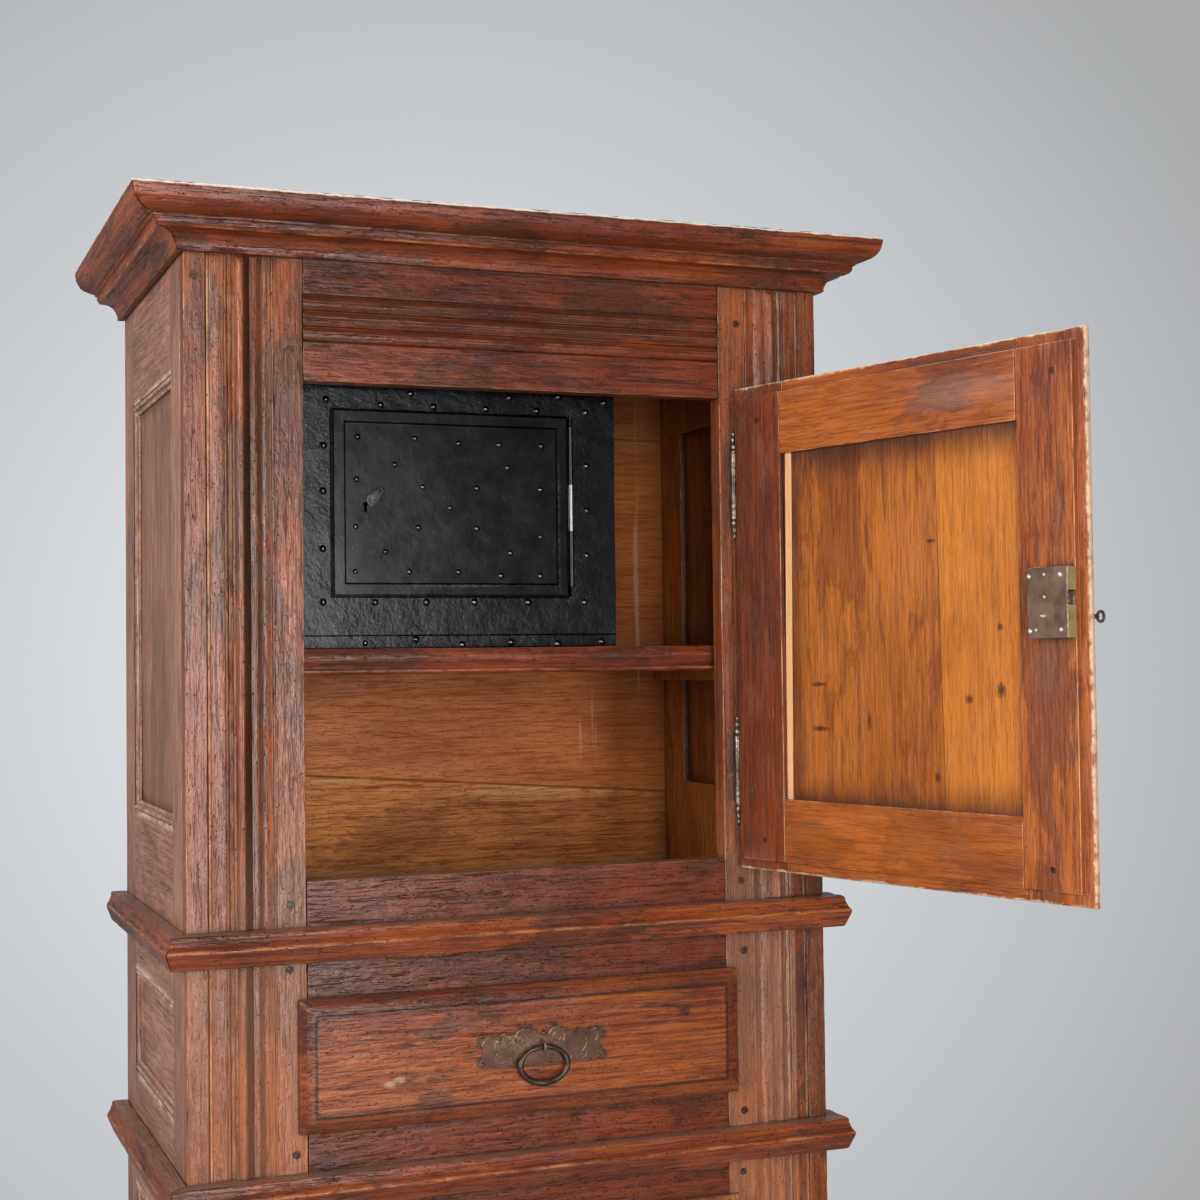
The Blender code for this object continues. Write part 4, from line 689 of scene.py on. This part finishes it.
# Rivets of the case and of its door: millimetres from the case's left and lower edge, row by row.
CASE_RIVETS = {
    363: (186, 335), 367: (411,), 361: (483,), 350: (63,), 345: (142, 220, 299, 377, 454),
    285: (59,), 221: (58,), 140: (57,), 65: (57, 132, 207, 279, 361, 449),
    266: (454,), 200: (454,), 134: (453,), 12: (191,), 7: (117, 334, 475), 4: (260, 406),
}
DOOR_RIVETS = {
    224: (36, 120), 219: (185, 246, 311), 186: (90, 259), 164: (34,), 155: (131, 212, 309), 126: (171,),
    97: (32, 124, 211), 86: (309,), 62: (75, 262), 34: (31, 110, 183), 29: (247, 308),
}
SEAT_SPREAD, SEAT_HEIGHT = 1.4, 0.0012
rivet_iron = iron("rivet_iron_rubbed", "#4a4a4b", "#7a7b7c", "#c0c1c3", 0.10, 1.0, mottle=0.03)
metal_piece("safe_keyhole_cover", rivet_iron, "keyhole_cover", "black_iron")
# each rivet sits on a low, near-black disc: painted shade of the dimple round its head
seat_shade_iron = iron("sheet_iron_painted_shade_round_rivets", "#121213", "#1a1a1b", "#303031", 0.26, 1.0, mottle=0.05)
for what, body, left, front, low, rows, size in (
        ("case", "cabinet", -0.330, 0.0612, 1.4423, CASE_RIVETS, 0.0042),
        ("safe_door", "safe_leaf", -0.259, 0.0562, 1.5163, DOOR_RIVETS, 0.0036)):
    heads, seats = bmesh.new(), bmesh.new()
    for rise, places in rows.items():
        for run in places:
            spot = (left + run / 1000, front, low + rise / 1000)
            dome(heads, spot, size, size, AHEAD)
            dome(seats, spot, size * SEAT_SPREAD, SEAT_HEIGHT, AHEAD)
    show(what + "_rivets", heads, rivet_iron, body, "black_iron")
    show(what + "_rivet_seats", seats, seat_shade_iron, body, "black_iron")

# The upper door: stiles and rails of oak round a panel of two boards, hung open on its barrel hinges.
# Its inner side was waxed and kept from light and hands, so it is redder and brighter than the front.
# Its outer side is stained as the front is.
OPEN = math.radians(105)
HINGE_LINE = Vector((0.334, -0.0055, 0))
swing = Matrix.Translation(HINGE_LINE) @ Matrix.Rotation(OPEN, 4, "Z") @ Matrix.Translation(-HINGE_LINE)
RAIL_RUN = swing.to_3x3() @ Vector(FRONT)
INWARDS = swing.to_3x3() @ Vector(DEEP)
GRAIN_RAIL = (0, 0, -OPEN)
INNER = dict(deep="#78330f", tone="#a85820", rubbed="#d99d68", varnish="#502412", soot_and_shade="#180904",
             bloom="#a98975", haze=0.10, wax=0.28)
door_rail_oak = oak("oak_door_rail", GRAIN_RAIL, age=0.4, **INNER)
lock_stile_oak = oak("oak_door_lock_stile", GRAIN_Z, age=0.4, **INNER)
hinge_stile_oak = oak("oak_door_hinge_stile", GRAIN_Z, age=0.4, **{
    **INNER, "deep": "#542109", "tone": "#803a15"})
door_panel_oak = oak("oak_door_panel", GRAIN_Z, age=0.3, **{
    **INNER, "deep": "#84400e", "tone": "#ac601f", "rubbed": "#c68140", "varnish": "#6a2f0c", "haze": 0.05})


def local(finish, spot, size, tilt=0.0, placed=swing, turn=OPEN):
    """The place on the open door, from a spot of the shut one, in units of the half sizes given."""
    tree = finish.node_tree
    place = add(tree, "TexCoord", {}, "Object")
    return add(tree, "Mapping", {"Vector": place, "Location": placed @ Vector(spot),
                                 "Rotation": (0, tilt, turn), "Scale": size}, vector_type="TEXTURE")


def blot(finish, spot, size, colour, strength, **stand):
    """A knot or a bloom: an uneven patch round a spot, fading outwards."""
    tree = finish.node_tree
    here = local(finish, spot, size, **stand)
    uneven = add(tree, "TexNoise", {"Vector": here, "Scale": 2.2, "Detail": 4})
    away = add(tree, "VectorMath", {0: here}, "Value", operation="LENGTH")
    away = add(tree, "Math", {0: uneven, 1: 1.2, 2: away}, operation="MULTIPLY_ADD")
    lay_over(finish, away, colour, 1.6, 0.9, strength, **SMOOTH)


# the panel: two boards, the one at the free side more golden, its margins dark, with knots and a bare strip
BOARD_JOINT, JOINT_TILT, JOINT_HALF, JOINT_BLUR = (-0.0795, 0, 1.468), 0.0205, 0.0007, 0.0008
PANEL_MIDDLE, PANEL_HALF = (-0.022, 0, 1.462), (0.2425, 9, 0.256)
RAW_MIDDLE, RAW_HALF, RAW_TILT = (0.2128, 0, 1.468), (0.0066, 9, 0.249), -0.013
NOWHERE, UNIT = (0, 0, 0), (1, 1, 1)
tree = door_panel_oak.node_tree
across = add(tree, "SeparateXYZ", {0: local(door_panel_oak, BOARD_JOINT, UNIT, JOINT_TILT)}, 0)
lay_over(door_panel_oak, across, "#d98226", JOINT_BLUR, -JOINT_BLUR, 0.36)
joint = add(tree, "Math", {0: across, 1: 0.0, 2: JOINT_HALF}, operation="COMPARE")
lay_over(door_panel_oak, joint, "#2a1206", strength=0.6)
margin = beyond(tree, local(door_panel_oak, PANEL_MIDDLE, PANEL_HALF), NOWHERE, NOWHERE)
smoky = add(tree, "TexNoise", {"Vector": local(door_panel_oak, NOWHERE, (1, 1, 3)), "Scale": 1 / 0.05,
                               "Detail": 3})
margin = add(tree, "Math", {0: smoky, 1: 0.16, 2: margin}, operation="MULTIPLY_ADD")
lay_over(door_panel_oak, margin, "#3a1708", 0.84, 1.08, 0.85, **SMOOTH)
for x, z, half_x, half_z in (
        (153, 1384, 17, 3.5), (151, 1322, 18, 4), (-182, 1377, 8, 10), (-128, 1365, 7, 6),
        (54, 1334, 4, 14), (-65, 1573, 9, 3), (-182, 1457, 5, 5), (-70, 1262, 5, 7)):
    blot(door_panel_oak, (x / 1000, 0, z / 1000), (half_x / 750, 9, half_z / 750), "#2b140a", 0.8)
raw = beyond(tree, local(door_panel_oak, RAW_MIDDLE, RAW_HALF, RAW_TILT), NOWHERE, UNIT)
raw = add(tree, "Math", {0: raw, 1: 0.0}, operation="LESS_THAN")
lay_over(door_panel_oak, raw, "#e0a878", strength=0.9)
blot(door_rail_oak, (-0.128, 0, 1.762), (0.13, 9, 0.03), "#a58e83", 0.18)
blot(lock_stile_oak, (-0.263, 0, 1.40), (0.035, 9, 0.06), "#6a4636", 0.4)
blot(door_rail_oak, (0.0, 0, 1.175), (0.45, 9, 0.09), "#b05c1c", 0.35)
door_low, door_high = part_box("upper_door_lock_stile")
DOOR_MIDDLE, DOOR_REACH = (door_low.z + door_high.z) / 2, (door_high.z - door_low.z) / 2
shut_again = swing.inverted()
LOCK_EDGE = min((shut_again @ vert.co).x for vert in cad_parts["upper_door_lock_stile"].data.vertices)
OUTLINE_WORN = 0.0028


def worn_edges(node):
    """A door piece's solid with the long edges on the door's outline worn round."""
    shape = copy_of(node)
    outer = []
    for edge in shape.edges:
        ends = [shut_again @ vert.co for vert in edge.verts]
        level = all(abs(abs(end.z - DOOR_MIDDLE) - DOOR_REACH) < 0.0005 for end in ends)
        beside = all(end.x < LOCK_EDGE + 0.0005 for end in ends)
        if edge.is_convex and abs(ends[0].y - ends[1].y) < 0.0001 and (level or beside):
            outer.append(edge)
    soften(shape, outer, OUTLINE_WORN)
    return shape


# the door's outer lip along its top, bottom and free edge is painted pale: partly worn wood, partly a painted
# highlight of light on the rounded edge
for finish in (hinge_stile_oak, lock_stile_oak, door_rail_oak):
    tree = finish.node_tree
    here = local(finish, (LOCK_EDGE, 0, DOOR_MIDDLE), UNIT)
    across, _, rise = add(tree, "SeparateXYZ", {0: here}).node.outputs
    rise = add(tree, "Math", {0: rise}, operation="ABSOLUTE")
    rise = add(tree, "Math", {0: DOOR_REACH, 1: rise}, operation="SUBTRACT")
    pale_lip_worn_and_lit = add(tree, "Math", {0: across, 1: rise}, operation="MINIMUM")
    ragged = add(tree, "TexNoise", {"Vector": here, "Scale": 1 / 0.02, "Detail": 5, "Roughness": 0.65})
    pale_lip_worn_and_lit = add(tree, "Math", {0: ragged, 1: 0.016, 2: pale_lip_worn_and_lit}, operation="MULTIPLY_ADD")
    lay_over(finish, pale_lip_worn_and_lit, "#dcbb9c", 0.0115, 0.0085, 0.7)
outside_rail = oak("oak_door_rail_outside", GRAIN_RAIL, **STAINED)
for part, finish, run, outside in (("hinge_stile", hinge_stile_oak, TALL, front_oak[GRAIN_Z]),
                                   ("lock_stile", lock_stile_oak, TALL, front_oak[GRAIN_Z]),
                                   ("top_rail", door_rail_oak, RAIL_RUN, outside_rail),
                                   ("bottom_rail", door_rail_oak, RAIL_RUN, outside_rail)):
    node = "upper_door_" + part
    piece = board(node, finish, "upper_door", "waxed_oak", run, 0.014, arris=0.0012, shape=worn_edges(node))
    face_with(piece, outside, -INWARDS)
panel = board("upper_door_panel", door_panel_oak, "upper_door", "waxed_oak", TALL, 0.02, RAIL_RUN, 0.02)
face_with(panel, front_oak[GRAIN_Z], -INWARDS)
DOOR_FACE, DOOR_PEG_RADIUS = 0.007, 0.0048
pegs = bmesh.new()
for x, z in ((-279.1, 1770.6), (-266.9, 1158.1), (268.0, 1768.0), (262.0, 1160.0)):
    peg(pegs, swing @ Vector((x / 1000, DOOR_FACE, z / 1000)), INWARDS, DOOR_PEG_RADIUS)
show("upper_door_pegs", pegs, peg_oak, "upper_door", "waxed_oak")

# Barrel hinges with turned finials, of forged iron worn bright on the knuckles.
# One leaf is let into the post and one into the door's edge, held by small nails.
old_iron = iron("forged_iron_browned", "#2e241d", "#5a4b40", "#8d7c6e", 0.34, 0.8)
bright_iron = iron("forged_iron_polished_by_hands", "#382b21", "#5f4f42", "#b5a798", 0.32, 0.8)
for which in ("upper", "lower"):
    for level in ("upper", "lower"):
        hinge = which + "_door_hinge_" + level
        metal_piece(hinge + "_post_half", bright_iron, "cabinet", "old_iron")
        metal_piece(hinge + "_door_half", bright_iron, which + "_door", "old_iron")
NAIL_FACE, NAIL_RADIUS, NAIL_HEIGHT = 0.0066, 0.0022, 0.0016
nails = bmesh.new()
for x, z in ((301.3, 1700.3), (299.8, 1685.5), (284.1, 1679.2), (303.0, 1287.5), (300.0, 1272.9)):
    dome(nails, swing @ Vector((x / 1000, NAIL_FACE, z / 1000)), NAIL_RADIUS, NAIL_HEIGHT, INWARDS)
show("hinge_nails", nails, bright_iron, "upper_door", "old_iron")

# The upper door's box lock, its bolt and its key: sheet steel filed and scraped, gone brown and grey.
# The case is riveted to its plate; a bright selvage closes the edge, and the key stands in from the front.
lock_steel = iron("lock_steel_scraped", "#5a4638", "#7c6554", "#e6dccf", 0.34, 0.75)
stud_steel = iron("stud_steel_bright", "#a89d90", "#d2c8bc", "#f2ece2", 0.22, 0.6)
selvage_brass = iron("selvage_brass_dull", "#8a7850", "#b3a06f", "#efe6cf", 0.30, 0.45)
metal_piece("upper_lock_case", lock_steel, "upper_door", "worn_steel")
metal_piece("upper_lock_bolt", lock_steel, "lock_bolt", "worn_steel")
metal_piece("key", old_iron, "door_key", "old_iron")
LOCK_FACE = 0.0230
studs = bmesh.new()
for x, z, radius, height in (
        (-251.6, 1517.3, 2.6, 2.6), (-300.2, 1518.0, 2.6, 2.6), (-252.1, 1450.3, 2.6, 2.6),
        (-300.6, 1451.4, 2.6, 2.6), (-275.1, 1519.1, 1.7, 1.2), (-261.2, 1451.4, 1.7, 1.2),
        (-274.9, 1491.5, 1.9, 1.6), (-275.4, 1468.4, 2.3, 7.0)):
    dome(studs, swing @ Vector((x / 1000, LOCK_FACE, z / 1000)), radius / 800, height / 900, INWARDS)
show("lock_studs", studs, stud_steel, "upper_door", "worn_steel")
SELVAGE_AT, SELVAGE_THICK, SELVAGE_WIDE = (-0.31085, 0.0150), 0.0007, 0.0152
selvage = bmesh.new()
for low, high in ((1.4418, 1.4815), (1.4995, 1.5278)):
    made = bmesh.ops.create_cube(selvage, size=1.0)["verts"]
    plate = Matrix.Translation((*SELVAGE_AT, (low + high) / 2))
    plate = plate @ Matrix.Diagonal((SELVAGE_THICK, SELVAGE_WIDE, high - low, 1))
    bmesh.ops.transform(selvage, verts=made, matrix=swing @ plate)
ease(selvage, 0.0002, 0.0002)
rule(selvage, TALL, 0.006)
crease(selvage)
feel(selvage, "lock_selvage", 0.003)
show("lock_selvage", selvage, selvage_brass, "upper_door", "worn_steel")

# The lower door, shut, made as the upper one; its front is stained and waxed like the frame.
# One stain serves both sides, and a box lock sits on the inside.
for part, turn, run in (("hinge_stile", GRAIN_Z, TALL), ("lock_stile", GRAIN_Z, TALL),
                        ("top_rail", GRAIN_X, FRONT), ("bottom_rail", GRAIN_X, FRONT)):
    board("lower_door_" + part, front_oak[turn], "lower_door", "waxed_oak", run)
board("lower_door_panel", front_oak[GRAIN_Z], "lower_door", "waxed_oak", TALL, 0.02, FRONT, 0.02)
metal_piece("lower_lock_case", lock_steel, "lower_door", "worn_steel")

# The drawer: a lipped oak front with a sunk field, and a plain oak box behind it.
# The front is stained and waxed as the rails are; the box was left bare.
drawer_oak = oak("oak_drawer_front", GRAIN_X, **{**STAINED, "deep": "#64280b", "tone": "#a0511a"})
shut = dict(placed=Matrix(), turn=0.0)
blot(drawer_oak, (0.2375, 0, 0.9111), (0.014, 9, 0.008), "#220c05", 0.8, **shut)
for x, z in ((-0.1894, 0.8518), (-0.2036, 0.8463)):
    blot(drawer_oak, (x, 0, z), (0.012, 9, 0.006), "#c8a186", 0.5, **shut)
DRAWER_MOULDING, FIELD_LINE = 0.022, 0.0020
drawer_low, drawer_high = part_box("drawer_front")
field = (drawer_high - drawer_low) / 2 - Vector((DRAWER_MOULDING, 0, DRAWER_MOULDING))
tree = drawer_oak.node_tree
edge = beyond(tree, add(tree, "TexCoord", {}, "Object"), (drawer_low + drawer_high) / 2, field)
lay_over(drawer_oak, edge, "#3a1508", -BLUR, BLUR, 0.35)
edge = add(tree, "Math", {0: edge}, operation="ABSOLUTE")
lay_over(drawer_oak, edge, "#1c0a04", FIELD_LINE + BLUR, FIELD_LINE, 0.6)
board("drawer_front", drawer_oak, "drawer", "waxed_oak", FRONT, 0.012, TALL, 0.014)
bare_deep = oak("oak_bare_deep", GRAIN_Y, age=0.5, **BARE)
for name in ("drawer_side_left", "drawer_side_right"):
    board(name, bare_deep, "drawer", "bare_oak", DEEP, 0.04, arris=0.0008, bruise=0.0008)
for name in ("drawer_back", "drawer_bottom"):
    board(name, bare_oak, "drawer", "bare_oak", FRONT, 0.04, arris=0.0008, bruise=0.0008)

# The drawer's pull: a cut and embossed iron plate, browned like the wood, with a ring in its eye.
# Scrolls are raised on the plate from behind, nails hold its ends, and the ring has turned knops.
PULL_X, PULL_Z, PLATE_FACE = 0.016, 0.8821, -0.0186
plate_iron = iron("pull_plate_browned", "#40261a", "#64422d", "#8f6f58", 0.30, 0.35)
metal_piece("pull_plate", plate_iron, "drawer", "old_iron")
EYE_REGION, RING_SWELL = 0.010, 0.0013
shape = copy_of("pull_ring")
shape.normal_update()
for vert in shape.verts:
    below = (PULL_Z - EYE_REGION - vert.co.z) / EYE_REGION
    vert.co += vert.normal * RING_SWELL * min(1, max(0, below))
feel(shape, "pull_ring", 0.003)
show("filed_pull_ring", shape, old_iron, "ring", "old_iron", "pull_ring")


def scroll(shape, x, z, radius, start, sweep, tube):
    """A raised ridge that curls on the plate's face: millimetres from the ring's eye, and degrees."""
    middle = Vector((PULL_X + x / 1000, PLATE_FACE, PULL_Z + z / 1000))
    start, sweep = math.radians(start), math.radians(sweep)
    outwards = Vector((math.cos(start), 0, math.sin(start)))
    onwards = Vector((-math.sin(start), 0, math.cos(start)))
    made = bmesh.ops.create_circle(shape, segments=8, radius=tube / 1000)["verts"]
    stand = Matrix((outwards, Vector(DEEP) * 0.9, onwards)).transposed().to_4x4()
    stand = Matrix.Translation(middle + outwards * radius / 1000) @ stand
    bmesh.ops.transform(shape, verts=made, matrix=stand)
    ring = list({edge for vert in made for edge in vert.link_edges})
    bmesh.ops.spin(shape, geom=made + ring, cent=middle, axis=AHEAD, angle=sweep, steps=14, use_merge=False)


scrolls = bmesh.new()
for x, z, radius, start, sweep, tube in (
        (-27, 12, 12, 5, 215, 1.5), (-27, 11, 6, 200, 250, 1.1), (23, 12, 12, -40, 215, 1.5),
        (23, 11, 6, -270, 250, 1.1), (-56, 2, 13, 60, 190, 1.3), (-60, -12, 8, 120, 200, 1.1),
        (54, 0, 14, -90, 180, 1.4), (60, -14, 8, -120, 200, 1.1), (-36, -16, 9, 170, 180, 1.2),
        (36, -16, 9, -170, 180, 1.2), (76, 8, 9, -60, 170, 1.3), (-78, 6, 9, 70, 170, 1.3)):
    scroll(scrolls, x, z, radius, start, sweep, tube)
bmesh.ops.holes_fill(scrolls, edges=scrolls.edges, sides=8)
for x, z in ((-88, 19), (-87, -20), (-62, 14), (83, 17), (86, -21), (4, 17)):
    dome(scrolls, (PULL_X + x / 1000, PLATE_FACE, PULL_Z + z / 1000), 0.0034, 0.0028, AHEAD)
bmesh.ops.recalc_face_normals(scrolls, faces=scrolls.faces)
crease(scrolls)
feel(scrolls, "plate_scrolls", 0.003)
show("plate_scrolls", scrolls, plate_iron, "drawer", "old_iron")
ring_low, ring_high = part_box("pull_ring")
knops = bmesh.new()
hang = (ring_low.y + ring_high.y) / 2
for x, radius, thick in ((0.6, 4.9, 4.2), (7.2, 4.2, 2.2), (-6.2, 4.0, 2.0)):
    dome(knops, (PULL_X + x / 1000, hang, ring_low.z + 0.0046), radius / 1000, thick / 1000, FRONT)
feel(knops, "ring_knops", 0.003)
show("ring_knops", knops, old_iron, "ring", "old_iron")

# The camera: a 58 mm lens at eye height, left of the middle, upright within a degree.
# It sees the cupboard from the cornice to the lower waist moulding, and its left side.
EYE, ROLL, PITCH, YAW, LENS = (-0.9067, -2.5889, 1.418), -0.012, -0.0325, 0.3774, 57.9
camera = bpy.data.cameras.new("camera")
camera.sensor_fit, camera.sensor_width, camera.lens = "HORIZONTAL", 36.0, LENS
eye = bpy.data.objects.new("camera", camera)
look = Matrix.Rotation(ROLL, 3, "Y") @ Matrix.Rotation(PITCH, 3, "X") @ Matrix.Rotation(YAW, 3, "Z")
look.transpose()
ahead, rise, aside = look @ Vector(DEEP), look @ Vector(TALL), look @ Vector(FRONT)
turned = Matrix((aside, rise, -ahead)).transposed().to_4x4()
eye.matrix_world = Matrix.Translation(EYE) @ turned
bpy.context.scene.collection.objects.link(eye)
bpy.context.scene.camera = eye
bpy.context.scene.view_settings.view_transform = "Standard"

# The studio: a pale floor that fades into a plain grey surround, brightest behind the cupboard.
# One lamp stands behind the camera, a tall narrow one right of it, a broad one to the left, and one above.
FLOOR_RADIUS = 2.6
ground = bmesh.new()
bmesh.ops.create_circle(ground, cap_ends=True, segments=96, radius=FLOOR_RADIUS)
mesh = bpy.data.meshes.new("floor")
ground.to_mesh(mesh)
ground.free()
floor = bpy.data.objects.new("floor", mesh)
bpy.context.scene.collection.objects.link(floor)
finish, tree, skin, place = blank("matt_floor")
out = add(tree, "VectorMath", {0: place}, "Value", operation="LENGTH")
fade = add(tree, "MapRange", {"Value": out, "From Min": 0.9, "From Max": 2.3}, **SMOOTH)
skin.inputs["Base Color"].default_value = linear("#c9ccce")
skin.inputs["Roughness"].default_value = 0.8
clear = add(tree, "BsdfTransparent", {})
mixed = add(tree, "MixShader", {0: fade, 1: skin.outputs[0], 2: clear})
tree.links.new(mixed, tree.nodes["Material Output"].inputs["Surface"])
mesh.materials.append(finish)

world = bpy.data.worlds.new("plain_grey_surround")
bpy.context.scene.world = world
world.use_nodes = True
tree = world.node_tree
path = tree.nodes.new("ShaderNodeLightPath")
mirrored = add(tree, "Math", {0: path.outputs["Is Glossy Ray"], 1: 0.25}, operation="MULTIPLY")
seen = add(tree, "Math", {0: path.outputs["Is Camera Ray"], 1: mirrored}, operation="MAXIMUM")
seen = add(tree, "Math", {0: seen, 1: path.outputs["Is Transmission Ray"]}, operation="MAXIMUM")
light = tree.nodes["Background"]
light.inputs["Color"].default_value = linear("#e6ebf0")
light.inputs["Strength"].default_value = 0.22
glow = (ahead - 0.0847 * aside - 0.0345 * rise).normalized()
towards = add(tree, "TexCoord", {}, "Generated")
away = add(tree, "VectorMath", {0: towards, 1: glow}, "Value", operation="DOT_PRODUCT")
away = add(tree, "Math", {0: away}, operation="ARCCOSINE")
shade = add(tree, "MapRange", {"Value": away, "From Min": 0.10, "From Max": 0.46})
grey = add(tree, "Mix", {0: shade, 6: linear("#e0e3e7"), 7: linear("#a9abad")}, 2, data_type="RGBA")
backdrop = add(tree, "Background", {"Color": grey, "Strength": 1.0})
both = add(tree, "MixShader", {0: seen, 1: light.outputs[0], 2: backdrop})
tree.links.new(both, tree.nodes["World Output"].inputs["Surface"])

for name, spot, aim, wide, high, power in (
        ("front_lamp", (-0.85, -3.6, 1.70), (0.1, 0.2, 1.4), 1.0, 1.7, 70),
        ("sheen_lamp", (0.22, -3.7, 1.00), (0.0, 0.1, 1.2), 0.5, 2.0, 58),
        ("window_lamp", (-3.3, -0.9, 2.0), (0.1, 0.0, 1.4), 1.8, 2.4, 115),
        ("top_lamp", (0.2, 0.7, 4.0), (0.1, 0.1, 1.5), 2.0, 2.0, 70)):
    lamp = bpy.data.lights.new(name, "AREA")
    lamp.shape, lamp.size, lamp.size_y, lamp.energy = "RECTANGLE", wide, high, power
    stand = bpy.data.objects.new(name, lamp)
    stand.location = spot
    stand.rotation_euler = (Vector(aim) - Vector(spot)).to_track_quat("-Z", "Y").to_euler()
    bpy.context.scene.collection.objects.link(stand)
